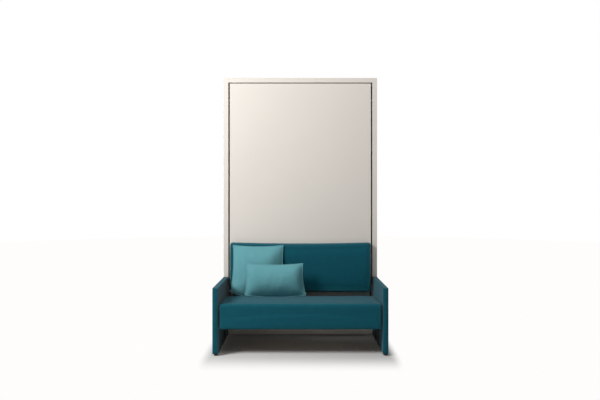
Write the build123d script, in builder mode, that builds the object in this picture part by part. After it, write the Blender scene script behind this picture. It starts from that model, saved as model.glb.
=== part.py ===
"""Wall bed with a sofa in front: a cabinet, a tilting bed, fixed arms and a seat that swings down.

Millimetres, +Z up, +X to the sitter's left as the object is seen from the front.
The front of the object looks along -Y. The origin is the middle of the footprint, on the floor.
Most places are given as a reach: how far they stand in front of the cabinet's front plane.
"""
import os
from math import cos, radians, sin, sqrt

from build123d import *

os.makedirs("parts", exist_ok=True)

# Cabinet
cabinet_width = 1320.0
cabinet_height = 2220.0
cabinet_depth = 380.0
side_thickness = 40.0
top_thickness = 40.0
back_thickness = 8.0
plinth_thickness = 18.0
plinth_height = 65.0
foot_height = 13.0
foot_radius = 17.0
foot_edge_distance = 60.0
edge_softening = 1.5
cam_bolt_radius = 4.0
cam_bolt_length = 90.0
cam_bolt_spread = 240.0

# Wall fixing
wall_rail_height = 80.0
wall_rail_thickness = 20.0
wall_rail_top_gap = 60.0
wall_rail_bottom_level = 20.0
wall_hole_radius = 5.5
wall_hole_spacing = 1000.0

# Bed frame, panel and mattress, standing closed
panel_side_gap = 13.0
panel_top_gap = 8.0
panel_thickness = 18.0
panel_bottom_level = 85.0
panel_notch_inset = 10.0
panel_notch_level = 430.0
rail_depth = 50.0
rail_width = 25.0
rail_wall = 2.0
rail_side_gap = 22.0
rail_end_inset = 5.0
cross_rail_height = 40.0
cross_rail_count = 4
slat_count = 14
slat_thickness = 8.0
slat_width = 55.0
slat_camber = 4.0
slat_end_gap = 3.0
holder_height = 12.0
holder_length = 40.0
mattress_thickness = 160.0
mattress_side_gap = 25.0
mattress_head_gap = 62.0
mattress_bottom_level = 128.0
mattress_gap = 0.5
mattress_rounding = 28.0
strap_width = 45.0
strap_thickness = 2.0
strap_gap = 0.3
strap_shares = (0.30, 0.75)
panel_screw_radius = 3.0
panel_screw_grip = 12.0
slats_per_panel_screw = 3

# Bed pivot and balance springs
pivot_behind_front = 40.0
pivot_level = 380.0
bed_travel = 90.0
shaft_radius = 8.0
shaft_inner_reach = 30.0
running_clearance = 0.1
bush_radius = 12.0
bush_flange_radius = 16.0
bush_flange_thickness = 2.0
pivot_plate_thickness = 6.0
pivot_plate_width = 66.0
pivot_plate_height = 92.0
pivot_hole_spacing_y = 42.0
pivot_hole_spacing_z = 66.0
arm_plate_inset = 4.0
arm_plate_thickness = 6.0
arm_plate_rise = 190.0
crank_radius = 100.0
spring_count = 3
spring_pitch = 15.0
spring_radius = 5.5
spring_eye_thickness = 3.0
spring_pin_radius = 4.0
spring_pin_length = 12.0
spring_anchor_level = 660.0
spring_neck = 22.0
anchor_plate_thickness = 3.0
stop_height = 30.0
stop_depth = 16.0
stop_width = 45.0
stop_gap = 0.3

# Foot legs
leg_pivot_below_top = 232.0
leg_thickness = 6.0
leg_width = 30.0
leg_side_clearance = 3.0
leg_pin_radius = 6.0
leg_cap_radius = 9.0
leg_cap_thickness = 2.0
leg_floor_clearance = 0.5
pad_height = 26.0
pad_wall = 2.5
bracket_height = 103.0
bracket_width = 35.0
bracket_thickness = 4.0
roller_radius = 9.0
roller_side_clearance = 1.5
roller_bore = 4.0

# Arms
arm_reach = 650.0
arm_height = 508.0
arm_cover_thickness = 3.0
arm_foot_height = 15.0
arm_foot_radius = 13.0
arm_foot_end_distance = 32.0
arm_edge_radius = 3.0
arm_bolt_radius = 5.0
arm_bolt_length = 120.0
arm_bolt_levels = (110.0, 410.0)

# Seat and its swing links
seat_side_gap = 10.0
seat_front_setback = 2.0
seat_rear_reach = 160.0
seat_bottom_level = 196.0
seat_front_level = 388.0
seat_rear_level = 371.0
seat_crown = 5.0
seat_end_crown = 2.0
seat_front_radius = 22.0
seat_rear_radius = 14.0
seat_skirt_depth = 46.0
seat_end_rounding = 9.0
seat_underside_level = 240.0
base_board_thickness = 15.0
seat_tube_height = 20.0
seat_tube_width = 30.0
seat_tube_wall = 2.0
seat_tube_count = 3
plate_thickness = 4.3
plate_clearance = 0.4
link_travel = 60.0
link_length = 300.0
link_base_level = 40.0
link_front_reach = 350.0
link_rear_reach = 215.0
link_thickness = 5.0
link_width = 24.0
link_side_clearance = 2.0
link_pin_radius = 5.0
open_pivot_clearance = 0.3
link_head_radius = 9.0
link_head_thickness = 1.4
bracket_plate_thickness = 2.0
bracket_plate_height = 50.0
bracket_plate_overhang = 30.0

# Backrest
backrest_side_gap = 22.0
backrest_bottom_level = 387.0
backrest_top_level = 797.0
backrest_ear_rise = 9.0
backrest_reach = 90.0
backrest_crown = 6.0
backrest_rounding = 26.0
backrest_end_rounding = 14.0
backrest_board_thickness = 12.0
backrest_board_inset = 18.0
backrest_screw_radius = 3.0
backrest_screw_rows = 2
backrest_screw_columns = 4
backrest_screw_spread_x = 950.0
backrest_screw_spread_z = 240.0

# Loose pillows: plain sizes, where each one stands and how far it leans back
square_pillow_top_width = 424.0
square_pillow_bottom_width = 456.0
square_pillow_height = 438.0
square_pillow_front = 64.0
square_pillow_back = 22.0
square_pillow_sag = 50.0
square_pillow_middle_x = -356.0
square_pillow_below_backrest = 9.0
lumbar_pillow_top_width = 474.0
lumbar_pillow_bottom_width = 504.0
lumbar_pillow_height = 272.0
lumbar_pillow_front = 62.0
lumbar_pillow_back = 18.0
lumbar_pillow_sag = 11.0
lumbar_pillow_middle_x = -206.0
pillow_lean = 7.0
pillow_draw = 13.0
pillow_draw_fade = 2.2
pillow_fullness = 0.8
pillow_rest_gap = 0.4
pillow_profile_steps = (0.12, 0.30, 0.55, 0.80)
backrest_fall_at_pillow = 1.4

# Worked out from the sizes above
total_depth = cabinet_depth + arm_reach
front_plane_y = total_depth / 2 - cabinet_depth
inner_half = cabinet_width / 2 - side_thickness
side_middle = cabinet_width / 2 - side_thickness / 2
top_underside = cabinet_height - top_thickness
panel_half = inner_half - panel_side_gap
panel_top_level = top_underside - panel_top_gap
rail_half = inner_half - rail_side_gap
rail_front = -panel_thickness
rail_back = rail_front - rail_depth
rail_low = panel_bottom_level + rail_end_inset
rail_high = panel_top_level - rail_end_inset
slat_front = rail_back
mattress_front = slat_front - slat_thickness - slat_camber - mattress_gap
mattress_back = mattress_front - mattress_thickness
mattress_half = inner_half - mattress_side_gap
mattress_top_level = top_underside - mattress_head_gap
mattress_length = mattress_top_level - mattress_bottom_level
leg_pivot_level = top_underside - leg_pivot_below_top
leg_reach = rail_front - rail_depth / 2
leg_inner = panel_half + leg_side_clearance
seat_half = inner_half - seat_side_gap
seat_front = arm_reach - seat_front_setback
seat_skirt_back = seat_front - seat_skirt_depth
link_inner = seat_half + link_side_clearance
link_top_level = link_base_level + link_length
backrest_half = inner_half - backrest_side_gap
SIDES = (("left", -1), ("right", 1))


def y_at(reach):
    """Y of a place that stands this far in front of the cabinet's front plane."""
    return front_plane_y - reach


def finish(builder, label):
    """Name a finished piece and write it."""
    builder.part.label = label
    export_step(builder.part, f"parts/{label}.step")


def bar(x_range, reach_range, level_range, mode=Mode.ADD):
    """Board or cut: its plan, drawn on its lower level and pulled up to its upper one."""
    with BuildSketch(Plane.XY.offset(level_range[0])) as plan:
        with Locations((sum(x_range) / 2, y_at(sum(reach_range) / 2))):
            Rectangle(abs(x_range[1] - x_range[0]), abs(reach_range[1] - reach_range[0]))
    extrude(plan.sketch, amount=level_range[1] - level_range[0], mode=mode)


def across(side, inner, outer):
    """Plane facing along X at one side of the object, and how far to extrude from it outwards."""
    plane = Plane.YZ.offset(side * inner)
    return plane, side * (outer - inner)


def pin_along_x(side, inner, outer, radius, reach, level, mode=Mode.ADD):
    """Round pin or hole that runs across the object, between two distances from its middle."""
    plane, length = across(side, inner, outer)
    with BuildSketch(plane) as round_end:
        with Locations((y_at(reach), level)):
            Circle(radius)
    extrude(round_end.sketch, amount=length, mode=mode)


def pin_along_y(x, level, radius, reach_range, mode=Mode.ADD):
    """Round pin or hole that runs from the back of the object to its front."""
    with BuildSketch(Plane.XZ.offset(-y_at(reach_range[0]))) as round_end:
        with Locations((x, level)):
            Circle(radius)
    extrude(round_end.sketch, amount=reach_range[1] - reach_range[0], mode=mode)


def tilted(reach, level, angle):
    """Where a place on the bed goes when the bed has come down by an angle in degrees."""
    ahead = reach + pivot_behind_front
    above = level - pivot_level
    turn = radians(angle)
    return (
        ahead * cos(turn) + above * sin(turn) - pivot_behind_front,
        pivot_level - ahead * sin(turn) + above * cos(turn),
    )


# Cabinet

def make_cabinet_sides():
    """Full-height side boards, bored for the arm bolts in their front edges."""
    for name, side in SIDES:
        with BuildPart() as board:
            bar(
                (side * inner_half, side * cabinet_width / 2),
                (-cabinet_depth, 0),
                (foot_height, cabinet_height),
            )
            upright = board.edges().filter_by(Axis.Z).sort_by(Axis.Y)[:2]
            chamfer(upright, edge_softening / 2)
            for level in arm_bolt_levels:
                pin_along_y(side * side_middle, level, arm_bolt_radius,
                            (-arm_bolt_length / 2, 0), Mode.SUBTRACT)
            for reach in cam_bolt_reaches():
                pin_along_x(side, inner_half, inner_half + side_thickness / 2, cam_bolt_radius,
                            reach, cabinet_height - top_thickness / 2, Mode.SUBTRACT)
        finish(board, f"cabinet_side_{name}")


def cam_bolt_reaches():
    """Reaches of the bolts that tie the top board to the sides."""
    middle = -(cabinet_depth - back_thickness) / 2
    return (middle - cam_bolt_spread / 2, middle + cam_bolt_spread / 2)


def make_cabinet_top():
    """Top board between the sides, bored at its ends for the bolts."""
    with BuildPart() as board:
        bar((-inner_half, inner_half), (-cabinet_depth + back_thickness, 0),
            (top_underside, cabinet_height))
        chamfer(board.edges().filter_by(Axis.X).sort_by(Axis.Y)[:2], edge_softening / 2)
        for _, side in SIDES:
            for reach in cam_bolt_reaches():
                pin_along_x(side, inner_half - cam_bolt_length + side_thickness / 2, inner_half,
                            cam_bolt_radius, reach, cabinet_height - top_thickness / 2,
                            Mode.SUBTRACT)
    finish(board, "cabinet_top")


def make_cam_bolts():
    """Bolts that tie the top board to the sides."""
    with BuildPart() as bolts:
        for _, side in SIDES:
            for reach in cam_bolt_reaches():
                outer = inner_half + side_thickness / 2
                pin_along_x(side, outer - cam_bolt_length, outer, cam_bolt_radius,
                            reach, cabinet_height - top_thickness / 2)
    finish(bolts, "cabinet_bolts")


def make_plinth():
    """Low board across the foot of the cabinet's front."""
    with BuildPart() as board:
        bar((-inner_half, inner_half), (-plinth_thickness, 0),
            (foot_height, foot_height + plinth_height))
        chamfer(board.edges().filter_by(Axis.X).sort_by(Axis.Y)[:2], edge_softening / 2)
    finish(board, "cabinet_plinth")


def wall_hole_levels():
    """Levels of the lower and upper wall fixing holes."""
    lower = wall_rail_bottom_level + wall_rail_height / 2
    upper = top_underside - wall_rail_top_gap - wall_rail_height / 2
    return lower, upper


def make_back_panel():
    """Thin back between the sides, with the wall fixing holes."""
    with BuildPart() as panel:
        bar((-inner_half, inner_half), (-cabinet_depth, -cabinet_depth + back_thickness),
            (foot_height, cabinet_height))
        for level in wall_hole_levels():
            for _, side in SIDES:
                pin_along_y(side * wall_hole_spacing / 2, level, wall_hole_radius,
                            (-cabinet_depth, -cabinet_depth + back_thickness), Mode.SUBTRACT)
    finish(panel, "cabinet_back_panel")


def make_wall_rails():
    """Rails inside the back that take the screws into the wall."""
    for label, level in zip(("wall_rail_bottom", "wall_rail_top"), wall_hole_levels()):
        reach = (-cabinet_depth + back_thickness,
                 -cabinet_depth + back_thickness + wall_rail_thickness)
        with BuildPart() as rail:
            bar((-inner_half, inner_half), reach,
                (level - wall_rail_height / 2, level + wall_rail_height / 2))
            for _, side in SIDES:
                pin_along_y(side * wall_hole_spacing / 2, level, wall_hole_radius,
                            reach, Mode.SUBTRACT)
        finish(rail, label)


def make_cabinet_feet():
    """Levelling feet under the cabinet's sides: a disc with a narrower stem."""
    stem = foot_radius / 2
    disc = foot_height / 2
    with BuildPart() as feet:
        for _, side in SIDES:
            for reach in (-foot_edge_distance, -cabinet_depth + foot_edge_distance):
                with BuildSketch(Plane.XY):
                    with Locations((side * side_middle, y_at(reach))):
                        Circle(foot_radius)
                extrude(amount=disc)
                with BuildSketch(Plane.XY.offset(disc)):
                    with Locations((side * side_middle, y_at(reach))):
                        Circle(stem)
                extrude(amount=foot_height - disc)
    finish(feet, "cabinet_feet")


# Bed

def make_bed_panel():
    """Front panel of the bed, narrower at the foot where it swings past the pivot plates."""
    low_half = panel_half - panel_notch_inset
    with BuildPart() as panel:
        with BuildSketch(Plane.XZ.offset(-y_at(-panel_thickness))):
            with BuildLine():
                Polyline(
                    (-low_half, panel_bottom_level),
                    (-low_half, panel_notch_level),
                    (-panel_half, panel_notch_level),
                    (-panel_half, panel_top_level),
                    (panel_half, panel_top_level),
                    (panel_half, panel_notch_level),
                    (low_half, panel_notch_level),
                    (low_half, panel_bottom_level),
                    close=True,
                )
            make_face()
        extrude(amount=panel_thickness)
        chamfer(panel.faces().sort_by(Axis.Y)[0].outer_wire().edges(), edge_softening / 2)
        for x, level in panel_screw_places():
            pin_along_y(x, level, panel_screw_radius,
                        (-panel_thickness, -panel_thickness + panel_screw_grip), Mode.SUBTRACT)
    finish(panel, "bed_panel")


def panel_screw_places():
    """Screws that hold the panel stand between slats, up the middle of each side rail."""
    levels = slat_levels()
    return [
        (side * (rail_half - rail_width / 2), (levels[index] + levels[index + 1]) / 2)
        for _, side in SIDES
        for index in range(1, slat_count - 1, slats_per_panel_screw)
    ]


def make_panel_screws():
    """Screws through the side rails into the back of the panel."""
    with BuildPart() as screws:
        for x, level in panel_screw_places():
            pin_along_y(x, level, panel_screw_radius,
                        (rail_back - rail_wall, -panel_thickness + panel_screw_grip))
            pin_along_y(x, level, panel_screw_radius * 2, (rail_back - rail_wall, rail_back))
    finish(screws, "panel_screws")


def make_side_rails():
    """Rectangular tube rails along both long sides, bored for the pivot bush and the screws."""
    middle = rail_half - rail_width / 2
    for name, side in SIDES:
        with BuildPart() as rail:
            with BuildSketch(Plane.XY.offset(rail_low)):
                with Locations((side * middle, y_at((rail_front + rail_back) / 2))):
                    Rectangle(rail_width, rail_depth)
                    Rectangle(rail_width - 2 * rail_wall, rail_depth - 2 * rail_wall,
                              mode=Mode.SUBTRACT)
            extrude(amount=rail_high - rail_low)
            pin_along_x(side, rail_half - rail_width, rail_half, bush_radius,
                        -pivot_behind_front, pivot_level, Mode.SUBTRACT)
            pin_along_x(side, rail_half - rail_wall, rail_half, leg_pin_radius,
                        leg_reach, leg_pivot_level, Mode.SUBTRACT)
            for x, level in panel_screw_places():
                if x * side > 0:
                    pin_along_y(x, level, panel_screw_radius, (rail_back, rail_front),
                                Mode.SUBTRACT)
        finish(rail, f"bed_rail_{name}")


def make_cross_rails():
    """Tubes across the bed between its side rails, evenly spaced from head to foot."""
    inner = rail_half - rail_width
    step = (rail_high - rail_low - cross_rail_height) / (cross_rail_count - 1)
    with BuildPart() as rails:
        for index in range(cross_rail_count):
            level = rail_low + cross_rail_height / 2 + index * step
            with BuildSketch(Plane.YZ.offset(-inner)):
                with Locations((y_at((rail_front + rail_back) / 2), level)):
                    Rectangle(rail_depth, cross_rail_height)
                    Rectangle(rail_depth - 2 * rail_wall, cross_rail_height - 2 * rail_wall,
                              mode=Mode.SUBTRACT)
            extrude(amount=2 * inner)
    finish(rails, "bed_cross_rails")


def slat_levels():
    """Levels of the slats' middles, evenly spread along the mattress."""
    first = mattress_bottom_level + slat_width
    step = (mattress_length - 2 * slat_width) / (slat_count - 1)
    return [first + index * step for index in range(slat_count)]


def make_slats():
    """Sprung plywood slats, bowed towards the mattress."""
    half = rail_half - rail_width / 2 - slat_end_gap
    near = y_at(slat_front)
    with BuildPart() as slats:
        for level in slat_levels():
            with BuildSketch(Plane.XY.offset(level - slat_width / 2)):
                with BuildLine():
                    front = ThreePointArc((-half, near), (0, near + slat_camber), (half, near))
                    right = Line(front @ 1, (half, near + slat_thickness))
                    back = ThreePointArc(right @ 1, (0, near + slat_thickness + slat_camber),
                                         (-half, near + slat_thickness))
                    Line(back @ 1, front @ 0)
                make_face()
            extrude(amount=slat_width)
    finish(slats, "slats")


def make_slat_holders():
    """Plastic caps that hold the slats' ends on the side rails' back faces."""
    outer = mattress_half - strap_gap
    inner = rail_half - rail_width / 2 - slat_end_gap
    with BuildPart() as holders:
        for _, side in SIDES:
            for level in slat_levels():
                bar((side * inner, side * outer), (slat_front - slat_thickness, slat_front),
                    (level - holder_length / 2, level + holder_length / 2))
    finish(holders, "slat_holders")


def make_mattress():
    """Foam mattress with rounded edges all round."""
    with BuildPart() as mattress:
        bar((-mattress_half, mattress_half), (mattress_back, mattress_front),
            (mattress_bottom_level, mattress_top_level))
        fillet(mattress.edges().filter_by(Axis.Z), mattress_rounding)
        ends = mattress.faces().filter_by(Axis.Z)
        fillet(ends.edges(), mattress_rounding / 2)
    finish(mattress, "mattress")


def make_mattress_straps():
    """Webbing straps that go from rail to rail round the back of the mattress."""
    half = mattress_half + strap_gap + strap_thickness / 2
    back = y_at(mattress_back - strap_gap - strap_thickness / 2)
    end = y_at(rail_back - strap_gap - strap_thickness / 2)
    with BuildPart() as straps:
        for share in strap_shares:
            level = mattress_bottom_level + share * mattress_length
            with BuildSketch(Plane.XY.offset(level - strap_width / 2)):
                with BuildLine():
                    FilletPolyline((-half, end), (-half, back), (half, back), (half, end),
                                   radius=mattress_rounding + strap_gap + strap_thickness / 2)
                    offset(amount=strap_thickness / 2, side=Side.BOTH)
                make_face()
            extrude(amount=strap_width)
    finish(straps, "mattress_straps")


# Pivot, balance springs and stops

def crank_places():
    """Reach and level of each spring pin on the bed's crank, standing closed."""
    reach = -pivot_behind_front - crank_radius / sqrt(2)
    level = pivot_level - crank_radius / sqrt(2)
    middle = (spring_count - 1) / 2
    return [(reach + (index - middle) * spring_pitch, level) for index in range(spring_count)]


def make_pivot_arms():
    """Steel plates on the bed's side rails: a bored boss, a tail up the rail and a spring crank."""
    places = crank_places()
    tail = rail_depth / 2 - arm_plate_inset
    for name, side in SIDES:
        plane, thickness = across(side, rail_half, rail_half + arm_plate_thickness)
        with BuildPart() as arm:
            with BuildSketch(plane):
                with Locations((y_at(-pivot_behind_front), pivot_level)):
                    Circle(rail_depth / 2)
                with Locations((y_at(leg_reach), pivot_level + arm_plate_rise / 2)):
                    Rectangle(2 * tail, arm_plate_rise)
                with BuildLine():
                    Polyline(
                        (y_at(places[0][0] - spring_pitch / 2), places[0][1] - spring_pitch),
                        (y_at(places[-1][0] + spring_pitch / 2), places[-1][1] - spring_pitch),
                        (y_at(-pivot_behind_front + tail), pivot_level),
                        (y_at(-pivot_behind_front), pivot_level + tail),
                        (y_at(places[0][0] - spring_pitch / 2), places[0][1] + spring_pitch / 2),
                        close=True,
                    )
                make_face()
                with Locations((y_at(-pivot_behind_front), pivot_level)):
                    Circle(bush_radius, mode=Mode.SUBTRACT)
            extrude(amount=thickness)
            for reach, level in places:
                pin_along_x(side, rail_half + arm_plate_thickness,
                            rail_half + arm_plate_thickness + spring_pin_length,
                            spring_pin_radius, reach, level)
        finish(arm, f"pivot_arm_{name}")


def make_pivot_bushes():
    """Flanged nylon bushes in the side rails and pivot arms."""
    outer = rail_half + arm_plate_thickness
    with BuildPart() as bushes:
        for _, side in SIDES:
            pin_along_x(side, rail_half - rail_width, outer, bush_radius,
                        -pivot_behind_front, pivot_level)
            pin_along_x(side, outer, outer + bush_flange_thickness, bush_flange_radius,
                        -pivot_behind_front, pivot_level)
            pin_along_x(side, rail_half - rail_width, outer + bush_flange_thickness,
                        shaft_radius + running_clearance, -pivot_behind_front, pivot_level,
                        Mode.SUBTRACT)
    finish(bushes, "pivot_bushes")


def make_pivot_plates():
    """Rounded plates on the cabinet's sides that hold the bed's pivot shafts."""
    for name, side in SIDES:
        plane, thickness = across(side, inner_half - pivot_plate_thickness, inner_half)
        with BuildPart() as plate:
            with BuildSketch(plane):
                with Locations((y_at(-pivot_behind_front), pivot_level)):
                    RectangleRounded(pivot_plate_width, pivot_plate_height, shaft_radius)
                    Circle(shaft_radius, mode=Mode.SUBTRACT)
            extrude(amount=thickness)
            with BuildSketch(plane):
                with Locations((y_at(-pivot_behind_front), pivot_level)):
                    with GridLocations(pivot_hole_spacing_y, pivot_hole_spacing_z, 2, 2):
                        Circle(panel_screw_radius)
            extrude(amount=thickness, mode=Mode.SUBTRACT)
        finish(plate, f"pivot_plate_{name}")


def make_pivot_shafts():
    """Stub shafts that the bed turns on."""
    with BuildPart() as shafts:
        for _, side in SIDES:
            pin_along_x(side, inner_half - shaft_inner_reach, inner_half, shaft_radius,
                        -pivot_behind_front, pivot_level)
    finish(shafts, "pivot_shafts")


def spring_middle():
    """Distance of the springs' line from the middle of the object."""
    return rail_half + arm_plate_thickness + spring_pin_length / 2


def make_balance_springs():
    """Sets of compression springs that push the cranks down: coiled bodies with end eyes."""
    eye_radius = spring_pin_radius + spring_eye_thickness
    inner = spring_middle() - spring_eye_thickness / 2
    for name, side in SIDES:
        plane, thickness = across(side, inner, inner + spring_eye_thickness)
        with BuildPart() as springs:
            for reach, level in crank_places():
                length = spring_anchor_level - level
                with BuildSketch(Plane.XY.offset(level + spring_neck)):
                    with Locations((side * spring_middle(), y_at(reach))):
                        Circle(spring_radius)
                extrude(amount=length - 2 * spring_neck)
                with BuildSketch(plane):
                    with Locations((y_at(reach), level + length / 2)):
                        Rectangle(spring_radius, length)
                    with Locations((y_at(reach), level), (y_at(reach), spring_anchor_level)):
                        Circle(eye_radius)
                    with Locations((y_at(reach), level), (y_at(reach), spring_anchor_level)):
                        Circle(spring_pin_radius + running_clearance, mode=Mode.SUBTRACT)
                extrude(amount=thickness)
        finish(springs, f"balance_springs_{name}")


def make_spring_anchors():
    """Brackets on the cabinet's sides above the pivot, with a pin for each spring."""
    outer = inner_half - anchor_plate_thickness
    inner = spring_middle() - spring_pin_length / 2
    places = crank_places()
    middle = sum(reach for reach, _ in places) / spring_count
    with BuildPart() as anchors:
        for _, side in SIDES:
            plane, thickness = across(side, outer, inner_half)
            with BuildSketch(plane):
                with Locations((y_at(middle), spring_anchor_level)):
                    RectangleRounded((spring_count + 1) * spring_pitch, 2 * spring_pitch,
                                     spring_pin_radius)
            extrude(amount=thickness)
            for reach, _ in places:
                pin_along_x(side, inner, outer, spring_pin_radius, reach, spring_anchor_level)
    finish(anchors, "spring_anchors")


def make_closing_stops():
    """Rubber-faced blocks that the closed bed's side rails come to rest on."""
    low = rail_high - edge_softening - stop_height
    with BuildPart() as stops:
        for _, side in SIDES:
            bar((side * (inner_half - stop_width), side * inner_half),
                (rail_back - stop_gap - stop_depth, rail_back - stop_gap),
                (low, low + stop_height))
        fillet(stops.edges().filter_by(Axis.X), edge_softening)
    finish(stops, "closing_stops")


# Foot legs

def leg_length():
    """From the leg's pin to the floor when the bed is down."""
    return tilted(leg_reach, leg_pivot_level, bed_travel)[1] - leg_floor_clearance


def make_leg_brackets():
    """Plates on the side rails that carry the leg pins and the guide rollers."""
    middle = leg_pivot_level + bracket_height / 2 - leg_cap_radius
    roller_level = leg_pivot_level + bracket_height - 2 * leg_cap_radius
    with BuildPart() as brackets:
        for _, side in SIDES:
            plane, thickness = across(side, rail_half, rail_half + bracket_thickness)
            with BuildSketch(plane):
                with Locations((y_at(leg_reach), middle)):
                    RectangleRounded(bracket_width, bracket_height, leg_pin_radius)
                with Locations((y_at(leg_reach), leg_pivot_level)):
                    Circle(leg_pin_radius, mode=Mode.SUBTRACT)
            extrude(amount=thickness)
            pin_along_x(side, rail_half + bracket_thickness,
                        inner_half - roller_side_clearance, roller_bore,
                        leg_reach, roller_level)
    finish(brackets, "leg_brackets")


def make_guide_rollers():
    """Nylon rollers beside the panel that keep the bed clear of the cabinet's sides."""
    level = leg_pivot_level + bracket_height - 2 * leg_cap_radius
    inner = rail_half + bracket_thickness
    outer = inner_half - roller_side_clearance
    with BuildPart() as rollers:
        for _, side in SIDES:
            pin_along_x(side, inner, outer, roller_radius, leg_reach, level)
            pin_along_x(side, inner, outer, roller_bore, leg_reach, level, Mode.SUBTRACT)
    finish(rollers, "guide_rollers")


def make_leg_pins():
    """Pins that the foot legs hang on, with a flat cap outside each leg."""
    cap_start = leg_inner + leg_thickness + running_clearance
    with BuildPart() as pins:
        for _, side in SIDES:
            pin_along_x(side, rail_half - rail_wall, cap_start, leg_pin_radius,
                        leg_reach, leg_pivot_level)
            pin_along_x(side, cap_start, cap_start + leg_cap_thickness, leg_cap_radius,
                        leg_reach, leg_pivot_level)
    finish(pins, "leg_pins")


def make_foot_legs():
    """Blade legs that hang plumb beside the panel and meet the floor when the bed is down."""
    length = leg_length()
    blade_low = leg_pivot_level - length + pad_wall
    for name, side in SIDES:
        plane, thickness = across(side, leg_inner, leg_inner + leg_thickness)
        with BuildPart() as leg:
            with BuildSketch(plane):
                with Locations((y_at(leg_reach), leg_pivot_level)):
                    Circle(leg_width / 2)
                with Locations((y_at(leg_reach), (leg_pivot_level + blade_low) / 2)):
                    Rectangle(leg_width, leg_pivot_level - blade_low)
                with Locations((y_at(leg_reach), leg_pivot_level)):
                    Circle(leg_pin_radius + running_clearance, mode=Mode.SUBTRACT)
            extrude(amount=thickness)
        finish(leg, f"foot_leg_{name}")


def make_foot_pads():
    """Rubber shoes on the ends of the foot legs."""
    low = leg_pivot_level - leg_length()
    for name, side in SIDES:
        inner = side * (leg_inner - pad_wall)
        outer = side * (leg_inner + leg_thickness + pad_wall)
        with BuildPart() as pad:
            bar((inner, outer), (leg_reach - leg_width / 2 - pad_wall,
                                 leg_reach + leg_width / 2 + pad_wall), (low, low + pad_height))
            fillet(pad.edges().filter_by(Axis.X), pad_wall)
            bar((side * leg_inner, side * (leg_inner + leg_thickness)),
                (leg_reach - leg_width / 2, leg_reach + leg_width / 2), (low, low + pad_wall))
            with BuildSketch(Plane.XY.offset(low + pad_wall)):
                with Locations((side * (leg_inner + leg_thickness / 2), y_at(leg_reach))):
                    Rectangle(leg_thickness, leg_width)
            extrude(amount=pad_height, mode=Mode.SUBTRACT)
        finish(pad, f"foot_pad_{name}")


# Arms

def make_arm_boards():
    """Board cores of the arms, standing in front of the cabinet's sides."""
    half = side_thickness / 2 - arm_cover_thickness
    for name, side in SIDES:
        with BuildPart() as board:
            bar((side * (side_middle - half), side * (side_middle + half)),
                (0, arm_reach - arm_cover_thickness),
                (arm_foot_height, arm_height - arm_cover_thickness))
            for level in arm_bolt_levels:
                pin_along_y(side * side_middle, level, arm_bolt_radius,
                            (0, arm_bolt_length / 2), Mode.SUBTRACT)
            for reach in (link_front_reach, link_rear_reach):
                pin_along_x(side, side_middle - half, side_middle, link_pin_radius,
                            reach, link_base_level, Mode.SUBTRACT)
        finish(board, f"arm_board_{name}")


def make_arm_covers():
    """Upholstery over each arm: both faces, the top and the front, open below and behind."""
    half = side_thickness / 2 - arm_cover_thickness
    for name, side in SIDES:
        with BuildPart() as cover:
            bar((side * inner_half, side * cabinet_width / 2), (0, arm_reach),
                (arm_foot_height, arm_height))
            front = cover.faces().sort_by(Axis.Y)[0].edges().filter_by(Axis.Z)
            top = cover.faces().sort_by(Axis.Z)[-1].edges()
            fillet(front + top.filter_by(Axis.Y) + top.sort_by(Axis.Y)[0:1], arm_edge_radius)
            with BuildSketch(Plane.XY.offset(arm_foot_height)):
                with Locations((side * side_middle, y_at((arm_reach - arm_cover_thickness) / 2))):
                    Rectangle(2 * half, arm_reach - arm_cover_thickness)
            extrude(amount=arm_height - arm_foot_height - arm_cover_thickness,
                    mode=Mode.SUBTRACT)
            for reach in (link_front_reach, link_rear_reach):
                pin_along_x(side, inner_half, side_middle - half, link_pin_radius,
                            reach, link_base_level, Mode.SUBTRACT)
        finish(cover, f"arm_cover_{name}")


def make_arm_feet():
    """Low round glides under the arms."""
    ends = (arm_foot_end_distance, arm_reach - arm_foot_end_distance)
    with BuildPart() as feet:
        with BuildSketch(Plane.XY):
            for _, side in SIDES:
                with Locations(*[(side * side_middle, y_at(reach)) for reach in ends]):
                    Circle(arm_foot_radius)
        extrude(amount=arm_foot_height)
        chamfer(feet.faces().sort_by(Axis.Z)[:4].edges(), edge_softening)
    finish(feet, "arm_feet")


def make_arm_bolts():
    """Steel dowels that tie the arms to the front edges of the cabinet's sides."""
    with BuildPart() as bolts:
        for _, side in SIDES:
            for level in arm_bolt_levels:
                pin_along_y(side * side_middle, level, arm_bolt_radius,
                            (-arm_bolt_length / 2, arm_bolt_length / 2))
    finish(bolts, "arm_bolts")


# Swing links

def make_link_brackets():
    """Plates low on the arms' inner faces that back the links' lower pins."""
    middle = (link_front_reach + link_rear_reach) / 2
    length = link_front_reach - link_rear_reach + 2 * bracket_plate_overhang
    for name, side in SIDES:
        plane, thickness = across(side, inner_half - bracket_plate_thickness, inner_half)
        with BuildPart() as plate:
            with BuildSketch(plane):
                with Locations((y_at(middle), link_base_level)):
                    RectangleRounded(length, bracket_plate_height, link_pin_radius)
                with Locations((y_at(link_front_reach), link_base_level),
                               (y_at(link_rear_reach), link_base_level)):
                    Circle(link_pin_radius, mode=Mode.SUBTRACT)
            extrude(amount=thickness)
        finish(plate, f"link_bracket_{name}")


def make_link_base_pins():
    """Shoulder bolts through the links' lower eyes into the arms."""
    head = link_inner - running_clearance
    with BuildPart() as pins:
        for _, side in SIDES:
            for reach in (link_front_reach, link_rear_reach):
                pin_along_x(side, head, side_middle, link_pin_radius, reach, link_base_level)
                pin_along_x(side, head - link_head_thickness, head, link_head_radius,
                            reach, link_base_level)
    finish(pins, "link_base_pins")


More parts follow.
